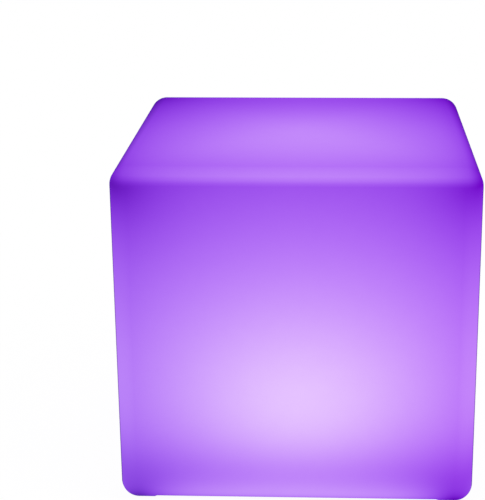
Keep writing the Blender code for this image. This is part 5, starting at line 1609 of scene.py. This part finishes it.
def protection_parts():
    """The chips on the cells' protection board, and their legs."""
    front = PROTECTION_FRONT_Y - PROTECTION_CHIP_SIZE[1] / 2
    middles = [PACK_X + x for x in PROTECTION_CHIP_XS]
    level = CELL_Z + PROTECTION_CHIP_RISE
    chips = [block("chip", PROTECTION_CHIP_SIZE, FINE_EASE, (x, front, level)) for x in middles]
    dress(smooth(merged("protection_chips", *chips)), black_plastic())
    seat = (0.0, front + PROTECTION_LEG_BACK, CELL_Z - PROTECTION_LEG_DROP)
    leg = block("leg", PROTECTION_LEG_SIZE, TINY_EASE, seat, 1)
    places = [(x + step * PROTECTION_LEG_PITCH, 0.0, 0.0) for x in middles for step in (-1, 0, 1)]
    dress(copies_at("protection_legs", leg, tinned(), places), tinned())


def battery_bracket():
    """The sprung strap that holds the cells down in their cradles."""
    reach = CELL_RADIUS + FIT_GAP
    foot_z = BRACKET_BOSS_TOP + FIT_GAP
    left, right = PACK_X - PACK_WIDTH / 2, PACK_X + PACK_WIDTH / 2
    foot = BRACKET_REACH + SMALL_BOSS_RADIUS
    path = [(left - foot, foot_z), (left - FIT_GAP, foot_z)]
    path += arc(CELL_XS[0], CELL_Z, reach, reach, 2 * QUARTER, QUARTER, 12)
    path += arc(CELL_XS[1], CELL_Z, reach, reach, QUARTER, 0.0, 12)
    path += [(right + FIT_GAP, foot_z), (right + foot, foot_z)]
    bm = bmesh.new()
    rows = [[bm.verts.new((x, y, z)) for x, z in path] for y in (-BRACKET_WIDTH / 2, BRACKET_WIDTH / 2)]
    for i in range(len(path) - 1):
        bm.faces.new((rows[0][i], rows[0][i + 1], rows[1][i + 1], rows[1][i]))
    strap = from_bmesh("battery_strap", bm)
    thick = strap.modifiers.new("thickness", "SOLIDIFY")
    thick.thickness = BRACKET_THICKNESS
    thick.offset = 1.0
    thick.use_even_offset = True
    hole_top = foot_z + BRACKET_THICKNESS + CUT_OVERRUN
    holes = rods("strap_holes", (BRACKET_SCREWS, foot_z - CUT_OVERRUN, hole_top, SMALL_HOLE_RADIUS))
    carve(settle(strap), holes)
    eased = strap.modifiers.new("edges", "BEVEL")
    eased.width = FINE_EASE
    eased.segments = 2
    eased.limit_method = "ANGLE"
    eased.angle_limit = math.radians(50)
    dress(smooth(settle(strap)), stainless_strip(), "battery_bracket")


def gull_leg():
    """One gull-wing leg of a chip, out along +X from its side."""
    rise, reach, thick, half = CHIP_LEG_RISE, CHIP_LEG_REACH, CHIP_LEG_THICKNESS, CHIP_LEG_HALF_WIDTH
    over = [(0, rise), (0.4 * reach, rise), (0.6 * reach, thick), (reach, thick)]
    under = [(reach, 0.0), (0.5 * reach, 0.0), (0.32 * reach, rise - thick), (0, rise - thick)]
    return moved(prism("leg", over + under, -half, half), Matrix.Rotation(QUARTER, 4, "X"))


def driver_chip():
    """The chip that drives the LEDs, and a row of legs on each side of it."""
    low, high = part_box("driver_chip")
    chip = block("chip_case", high - low, EASE, (low + high) / 2)
    dress(smooth(chip), chip_epoxy(), "driver_chip")
    for name, x, turn in (("chip_legs_right", high.x, 0.0), ("chip_legs_left", low.x, math.pi)):
        leg = moved(gull_leg(), Matrix.Rotation(turn, 4, "Z"))
        row = [(x, low.y + CHIP_LEG_START + CHIP_LEG_PITCH * i, BOARD_TOP) for i in range(CHIP_LEG_COUNT)]
        dress(copies_at(name, leg, tinned(), row), tinned())


def board_parts():
    """The coil, the capacitor and the small parts on the control board."""
    x, y = CHOKE_PLACE
    seat = shift(BOARD_X + x, y, BOARD_TOP)
    height = CHOKE_SIZE[2]
    choke = moved(block("choke_case", CHOKE_SIZE, CHOKE_EASE, (0.0, 0.0, height / 2)), seat)
    radius, floor, above = CHOKE_WELL_RADIUS, CHOKE_WELL_FLOOR, CHOKE_WELL_TOP
    well = lathe("choke_well", [(0, floor), (radius, floor), (radius, above), (0, above)], 40)
    dress(smooth(carve(choke, moved(well, seat))), grey_plastic())
    x, y = FILTER_PLACE
    radius, top, slope = FILTER_RADIUS, FILTER_HEIGHT, FILTER_SLOPE
    crown = [(0.0, top), (radius - slope, top), (radius, top - slope)]
    pinch = [*crimp(radius, FILTER_PINCH_Z, FILTER_PINCH, FILTER_PINCH), (radius, 0.0), (0.0, 0.0)]
    can = keep_local(smooth(moved(turned("filter_can", crown + pinch, 48), shift(z=BOARD_TOP))))
    dress(moved(can, shift(BOARD_X + x, y)), aluminium())
    chip = keep_local(block("small_part", SMALL_PART_SIZE, SMALL_PART_EASE))
    middle = BOARD_TOP + SMALL_PART_SIZE[2] / 2
    spots = []
    for (x, y), (across, along), count in SMALL_PART_ROWS:
        spots += [(BOARD_X + x + across * i, y + along * i, middle) for i in range(count)]
    dress(copies_at("board_small_parts", chip, ceramic(), spots), ceramic())


def hex_nut(name, width, thickness, bore, place):
    """A nut on the base plate, its corners turned down top and bottom."""
    radius = width / math.sqrt(3)
    nut = prism(name + "_hex", circle_places(6, radius), 0.0, thickness)
    flat, out = width / 2 * NUT_FACE_SHARE, radius + NUT_OVERRUN
    down = (radius - flat) * NUT_SLOPE_SHARE
    above, below = thickness + NUT_OVERRUN, -NUT_OVERRUN
    corners = [(0.0, below), (flat, below), (out, down), (out, thickness - down), (flat, above), (0.0, above)]
    carve(nut, lathe("corners", corners), operation="INTERSECT")
    wide, deep = bore + NUT_LEAD_IN[0], NUT_LEAD_IN[1]
    above, below = thickness + 2 * NUT_OVERRUN, -2 * NUT_OVERRUN
    hole = [(0.0, below), (wide, below), (bore, deep), (bore, thickness - deep)]
    keep_local(smooth(carve(nut, lathe("bore", [*hole, (wide, above), (0.0, above)], 64))))
    moved(nut, shift(*place, PLATE_TOP + FIT_GAP))
    dress(nut, stainless_turned(), name)


def washer(name, inner, outer, place):
    """A flat rubber washer under a bezel."""
    profile = [(inner, SEAL_TOP), (inner, SEAL_BOTTOM), (outer, SEAL_BOTTOM), (outer, SEAL_TOP)]
    ring = moved(turned(name + "_washer", profile, 72, RUBBER_EASE), shift(*place))
    dress(smooth(ring), black_rubber(), name)


def threaded_barrel(name, top, barrel, flange, face, place, finish):
    """A body that narrows from its flange to a barrel with a fine thread wound on it."""
    core, end = barrel - BARREL_THREAD, top - BARREL_END
    profile = [(0.0, top), (core, top), (core, BEZEL_TOP), (flange, BEZEL_TOP), *face]
    body = smooth(turned(name, profile, 72))
    turns = (end - PLATE_TOP) / BARREL_PITCH
    thread = coil("thread", finish, core, BARREL_THREAD, turns, PLATE_TOP, end, 4, 36)
    return moved(merged(name, body, thread), shift(*place))


def switch():
    """The push switch's body, its seal and its nut."""
    bezel, bore, chamber = SWITCH_BEZEL_RADIUS, BUTTON_RADIUS + FIT_GAP, SWITCH_CHAMBER_RADIUS
    bevel, rim, step = BEZEL_BEVEL, BUTTON_RADIUS + BEZEL_DISH_REACH, BEZEL_BOTTOM + BEZEL_DISH_DEPTH
    face = [(bezel, BEZEL_BOTTOM + bevel), (bezel - bevel, BEZEL_BOTTOM), (rim, BEZEL_BOTTOM)]
    face += [(rim - BEZEL_DISH_SLOPE, step), (bore, step), (bore, BEZEL_TOP), (chamber, BEZEL_TOP)]
    face += [(chamber, SWITCH_BORE_TOP), (0.0, SWITCH_BORE_TOP)]
    barrel = SWITCH_BARREL_RADIUS
    body = threaded_barrel("switch_case", SWITCH_TOP, barrel, bezel, face, SWITCH_PLACE, grey_plastic())
    dress(body, grey_plastic(), "switch_body")
    washer("switch_seal", barrel + FIT_GAP, bezel - FIT_GAP, SWITCH_PLACE)
    hex_nut("switch_nut", SWITCH_NUT_WIDTH, SWITCH_NUT_THICKNESS, barrel + FIT_GAP, SWITCH_PLACE)


def button():
    """The button that slides up into the switch."""
    edge, collar = BUTTON_RADIUS, BUTTON_COLLAR_RADIUS
    stem_top, stop = SWITCH_BORE_TOP - BUTTON_TRAVEL - BUTTON_STEM_ROOM, BEZEL_TOP + FIT_GAP
    bottom, bevel = BUTTON_BOTTOM, BUTTON_BEVEL
    stem = [(0.0, stem_top), (BUTTON_STEM_RADIUS, stem_top), (BUTTON_STEM_RADIUS, BUTTON_COLLAR_TOP)]
    side = [(collar, BUTTON_COLLAR_TOP), (collar, stop), (edge, stop), (edge, bottom + bevel[1])]
    face = [(edge - bevel[0], bottom), (edge - BUTTON_RIM, bottom), (0.0, bottom + BUTTON_DISH_DEPTH)]
    made = moved(turned("push_button", stem + side + face, 72), shift(*SWITCH_PLACE))
    dress(smooth(made), black_plastic(), "switch_button", body="button")


def spring():
    """The spring between the button's collar and the switch, which shortens as the button is pressed."""
    bottom = BUTTON_COLLAR_TOP + FIT_GAP + SPRING_WIRE_RADIUS
    top = SWITCH_BORE_TOP - FIT_GAP - SPRING_WIRE_RADIUS
    sizes = (SPRING_RADIUS, SPRING_WIRE_RADIUS, SPRING_TURNS, bottom, top, 10, 32)
    made = moved(coil("button_spring", stainless_drawn(), *sizes), shift(*SWITCH_PLACE))
    dress(smooth(made), stainless_drawn(), "switch_spring")
    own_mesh(made)


def charging_socket():
    """The socket, its centre pin, seal and nut."""
    barrel, flange, bore = JACK_BARREL_RADIUS, JACK_FLANGE_RADIUS, JACK_BORE_RADIUS
    bevel, eased = JACK_BEVEL, JACK_FRONT + JACK_BEVEL
    face = [(flange, eased), (flange - bevel, JACK_FRONT), (bore + bevel, JACK_FRONT), (bore, eased)]
    face += [(bore, JACK_BORE_TOP), (0.0, JACK_BORE_TOP)]
    body = threaded_barrel("charging_inlet", JACK_TOP, barrel, flange, face, JACK_PLACE, black_plastic())
    dress(body, black_plastic(), "charging_socket")
    root, tip = JACK_BORE_TOP - FIT_GAP, JACK_FRONT + JACK_PIN_INSET
    nose = arc(0.0, tip + JACK_PIN_RADIUS, JACK_PIN_RADIUS, JACK_PIN_RADIUS, 0.0, -1.2, 3)
    pin = lathe("inlet_pin", [(0.0, root), (JACK_PIN_RADIUS, root), *nose, (0.0, tip)], 32)
    dress(moved(keep_local(smooth(pin)), shift(*JACK_PLACE)), brass(), "socket_pin")
    washer("socket_seal", barrel + FIT_GAP, flange - FIT_GAP, JACK_PLACE)
    hex_nut("socket_nut", JACK_NUT_WIDTH, JACK_NUT_THICKNESS, barrel + FIT_GAP, JACK_PLACE)


def socket_cap():
    """The rubber cap with its grip, pull tab and strap."""
    plug, plug_top = CAP_PLUG_RADIUS, CAP_TOP + CAP_PLUG_LENGTH
    bore = plug - CAP_PLUG_WALL
    side = CAP_RADIUS - CAP_RIB_HEIGHT
    middle = (CAP_TOP + CAP_BOTTOM) / 2
    bead, bevel = CAP_PLUG_BEAD, CAP_BEVEL
    profile = [(0.0, CAP_TOP), (bore, CAP_TOP), (bore, plug_top), (plug - bead[0], plug_top)]
    profile += [(plug, plug_top - bead[1]), (plug - CAP_PLUG_NECK, CAP_TOP), (side, CAP_TOP)]
    profile += [(side, CAP_BOTTOM + bevel[1]), (side - bevel[0], CAP_BOTTOM), (0.0, CAP_BOTTOM + CAP_DISH)]
    cap = turned("socket_cover", profile, 96, RUBBER_EASE)
    rib = block("rib", CAP_RIB_SIZE, FINE_EASE, (0.0, 0.0, middle + CAP_RIB_RISE))
    parts = [ring_of("grip", rib, black_rubber(), CAP_RIB_COUNT, side)]
    arm = PIVOT_X + CAP_ARM_THICKNESS / 2 - BOARD_X
    tab = -CAP_RADIUS - CAP_TAB_LENGTH
    for end, segments in ((arm, 4), (tab, 3)):
        size = (abs(end), CAP_ARM_WIDTH, CAP_ARM_THICKNESS)
        parts.append(block("strap", size, BROAD_EASE, (end / 2, 0.0, middle), segments))
    for i in range(CAP_BAR_COUNT):
        place = (tab + CAP_BAR_START + CAP_BAR_PITCH * i, 0.0, middle - CAP_BAR_DROP)
        parts.append(block("bar", CAP_BAR_SIZE, CAP_BAR_EASE, place, 1))
    carve(cap, *parts, operation="UNION")
    dress(smooth(moved(cap, shift(*JACK_PLACE))), black_rubber(), "socket_cap", body="cap")


def cap_anchor():
    """The barbed stud that holds the cap's strap to the base plate."""
    barb, shank, head = PLATE_TOP + FIT_GAP, ANCHOR_SHANK_RADIUS, ANCHOR_HEAD_RADIUS
    tip = barb + ANCHOR_BARB_HEIGHT
    profile = [(0.0, tip), (shank * 0.8, tip), (ANCHOR_BARB_RADIUS, barb), (shank, barb), (shank, SEAL_TOP)]
    slope, rise = ANCHOR_BEVEL
    profile += [(head, SEAL_TOP), (head, CAP_BOTTOM + rise), (head - slope, CAP_BOTTOM), (0.0, CAP_BOTTOM)]
    anchor = moved(turned("strap_anchor", profile, 48), shift(ANCHOR_X, JACK_Y))
    dress(smooth(anchor), black_rubber(), "cap_anchor")


def lead_routes():
    """The middle line of each twisted lead, from joint to joint."""
    below, above = BOARD_BOTTOM - FIT_GAP, BOARD_TOP + FIT_GAP
    first = Vector((PACK_X + PACK_WIDTH * 0.2, PROTECTION_FRONT_Y - FIT_GAP, CELL_Z))
    x, y = BATTERY_JOINT
    last = Vector((BOARD_X + x, y - POST_Y, above))
    start = first - Vector((0.0, LEAD_RADIUS, 0.0))
    end = last + Vector((0.0, 0.0, LEAD_RADIUS))
    out = start - Vector((0.0, LEAD_SWING, 0.0))
    down = end + Vector((0.0, 0.0, LEAD_SWING))
    return {
        "switch_lead": [(*SWITCH_PLACE, SWITCH_TOP + FIT_GAP), (*SWITCH_PLACE, below)],
        "socket_lead": [(*JACK_PLACE, JACK_TOP + FIT_GAP), (*JACK_PLACE, below)],
        "led_lead": [(BOARD_X, LED_LEAD_Y, above), (BOARD_X, LED_LEAD_Y, LIGHT_BOARD_BOTTOM - FIT_GAP)],
        "battery_lead": [first, *interpolate_bezier(start, out, down, end, 16), last],
    }


def leads():
    """The twisted pairs inside the lamp unit, each soldered at both ends."""
    routes = lead_routes()
    red = sheath("red_sheath", (0.45, 0.03, 0.03))
    black = sheath("black_sheath", (0.03, 0.03, 0.03))
    dress(smooth(strands("red_wires", red, routes.values(), 0.0)), red, *routes)
    dress(smooth(strands("black_wires", black, routes.values(), math.pi)), black)
    dot = [(0.0, 0.0), *JOINT_FLANK, (0.0, JOINT_HEIGHT)]
    x, y, z = routes["battery_lead"][-1]
    tops = [(BOARD_X, LED_LEAD_Y, BOARD_TOP), (x, y, BOARD_TOP)]
    dress(copies_at("solder_joints", smooth(lathe("joint", dot, 24)), tinned(), tops), tinned())


def carried_finishes():
    """Gives the CAD nodes whose shape is right a finish of their own."""
    for name, finish in (
        ("control_board", green_board()),
        ("protection_board", green_board()),
        ("nickel_strip_front", nickel()),
        ("nickel_strip_back", nickel()),
    ):
        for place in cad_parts[name].material_slots:
            place.material = finish


# Stage


def floor_finish():
    """White wherever it is seen, with part of it left matt so that the stool's shadow shows. It is clear from
    below, and the room's light reaches the lamp unit's underside through it."""
    material = bpy.data.materials.new("studio_floor")
    material.use_nodes = True
    made = Graph(material.node_tree)
    made.tree.nodes.clear()
    matt = made.node("ShaderNodeBsdfDiffuse", {}, {"Color": FLOOR_COLOUR})
    white = made.node("ShaderNodeEmission", {}, {"Color": WHITE, "Strength": 1.0})
    x, y, z = made.parts(made.node("ShaderNodeTexCoord", output="Object"))
    away = made.hypot(x, y)
    share = made.span(away, *FLOOR_SHADOW_REACH, FLOOR_WHITE_SHARE, 1.0, smooth=True)
    both = made.node("ShaderNodeMixShader", {}, {0: made.rays(*SEEN_RAYS) * share, 1: matt, 2: white})
    clear = made.node("ShaderNodeBsdfTransparent")
    below = made.node("ShaderNodeNewGeometry", output="Backfacing")
    open_below = made.most(below, made.rays("Diffuse", "Shadow") * (away < RECESS_RADIUS))
    sided = made.node("ShaderNodeMixShader", {}, {0: open_below, 1: both, 2: clear})
    made.node("ShaderNodeOutputMaterial", {}, {"Surface": sided})
    return material


def studio():
    """A white room: floor, soft lamps and a background that is white where it is seen."""
    bm = bmesh.new()
    bmesh.ops.create_grid(bm, x_segments=1, y_segments=1, size=FLOOR_REACH)
    ground = moved(from_bmesh("studio_floor", bm), shift(z=-FLOOR_GAP))
    ground.data.materials.append(floor_finish())

    world = bpy.data.worlds.new("studio_room")
    world.use_nodes = True
    bpy.context.scene.world = world
    room = Graph(world.node_tree)
    room.tree.nodes.clear()
    strength = ROOM_LIGHT + room.rays(*SEEN_RAYS) * (1.0 - ROOM_LIGHT)
    sky = room.node("ShaderNodeBackground", {}, {"Color": WHITE, "Strength": strength})
    room.node("ShaderNodeOutputWorld", {}, {"Surface": sky})

    for name, place, size, power in (
        ("key_lamp", (-1.3, -1.5, 2.2), 1.6, 24.0),
        ("fill_lamp", (1.7, -1.0, 1.5), 1.8, 14.0),
        ("back_lamp", (0.4, 1.8, 1.8), 1.6, 14.0),
    ):
        lamp = bpy.data.lights.new(name, "AREA")
        lamp.shape = "DISK"
        lamp.size = size
        lamp.energy = power
        stand = new_piece(name, lamp)
        stand.location = place
        stand.rotation_euler = (LAMPS_AIM - Vector(place)).to_track_quat("-Z", "Y").to_euler()


def camera():
    """The camera, at the photograph's angle."""
    lens = bpy.data.cameras.new("camera")
    lens.lens = CAMERA_LENS
    lens.shift_x = CAMERA_SHIFT_X
    level = math.cos(CAMERA_PITCH)
    ahead = Vector((math.sin(CAMERA_YAW) * level, math.cos(CAMERA_YAW) * level, -math.sin(CAMERA_PITCH)))
    right = Vector((math.cos(CAMERA_YAW), -math.sin(CAMERA_YAW), 0.0))
    upright = Matrix((right, right.cross(ahead), -ahead)).transposed()
    rolled = upright @ Matrix.Rotation(CAMERA_ROLL, 3, "Z")
    stand = new_piece("camera", lens)
    stand.matrix_world = shift(*CAMERA_PLACE) @ rolled.to_4x4()
    bpy.context.scene.camera = stand
    bpy.context.scene.view_settings.view_transform = "Standard"


def build():
    camera()
    studio()
    shell()
    inserts()
    gasket()
    base_plate()
    housing()
    light_board()
    leds()
    receiver()
    dome()
    battery()
    protection_parts()
    battery_bracket()
    driver_chip()
    board_parts()
    switch()
    button()
    spring()
    charging_socket()
    socket_cap()
    cap_anchor()
    leads()
    screws()
    carried_finishes()


build()
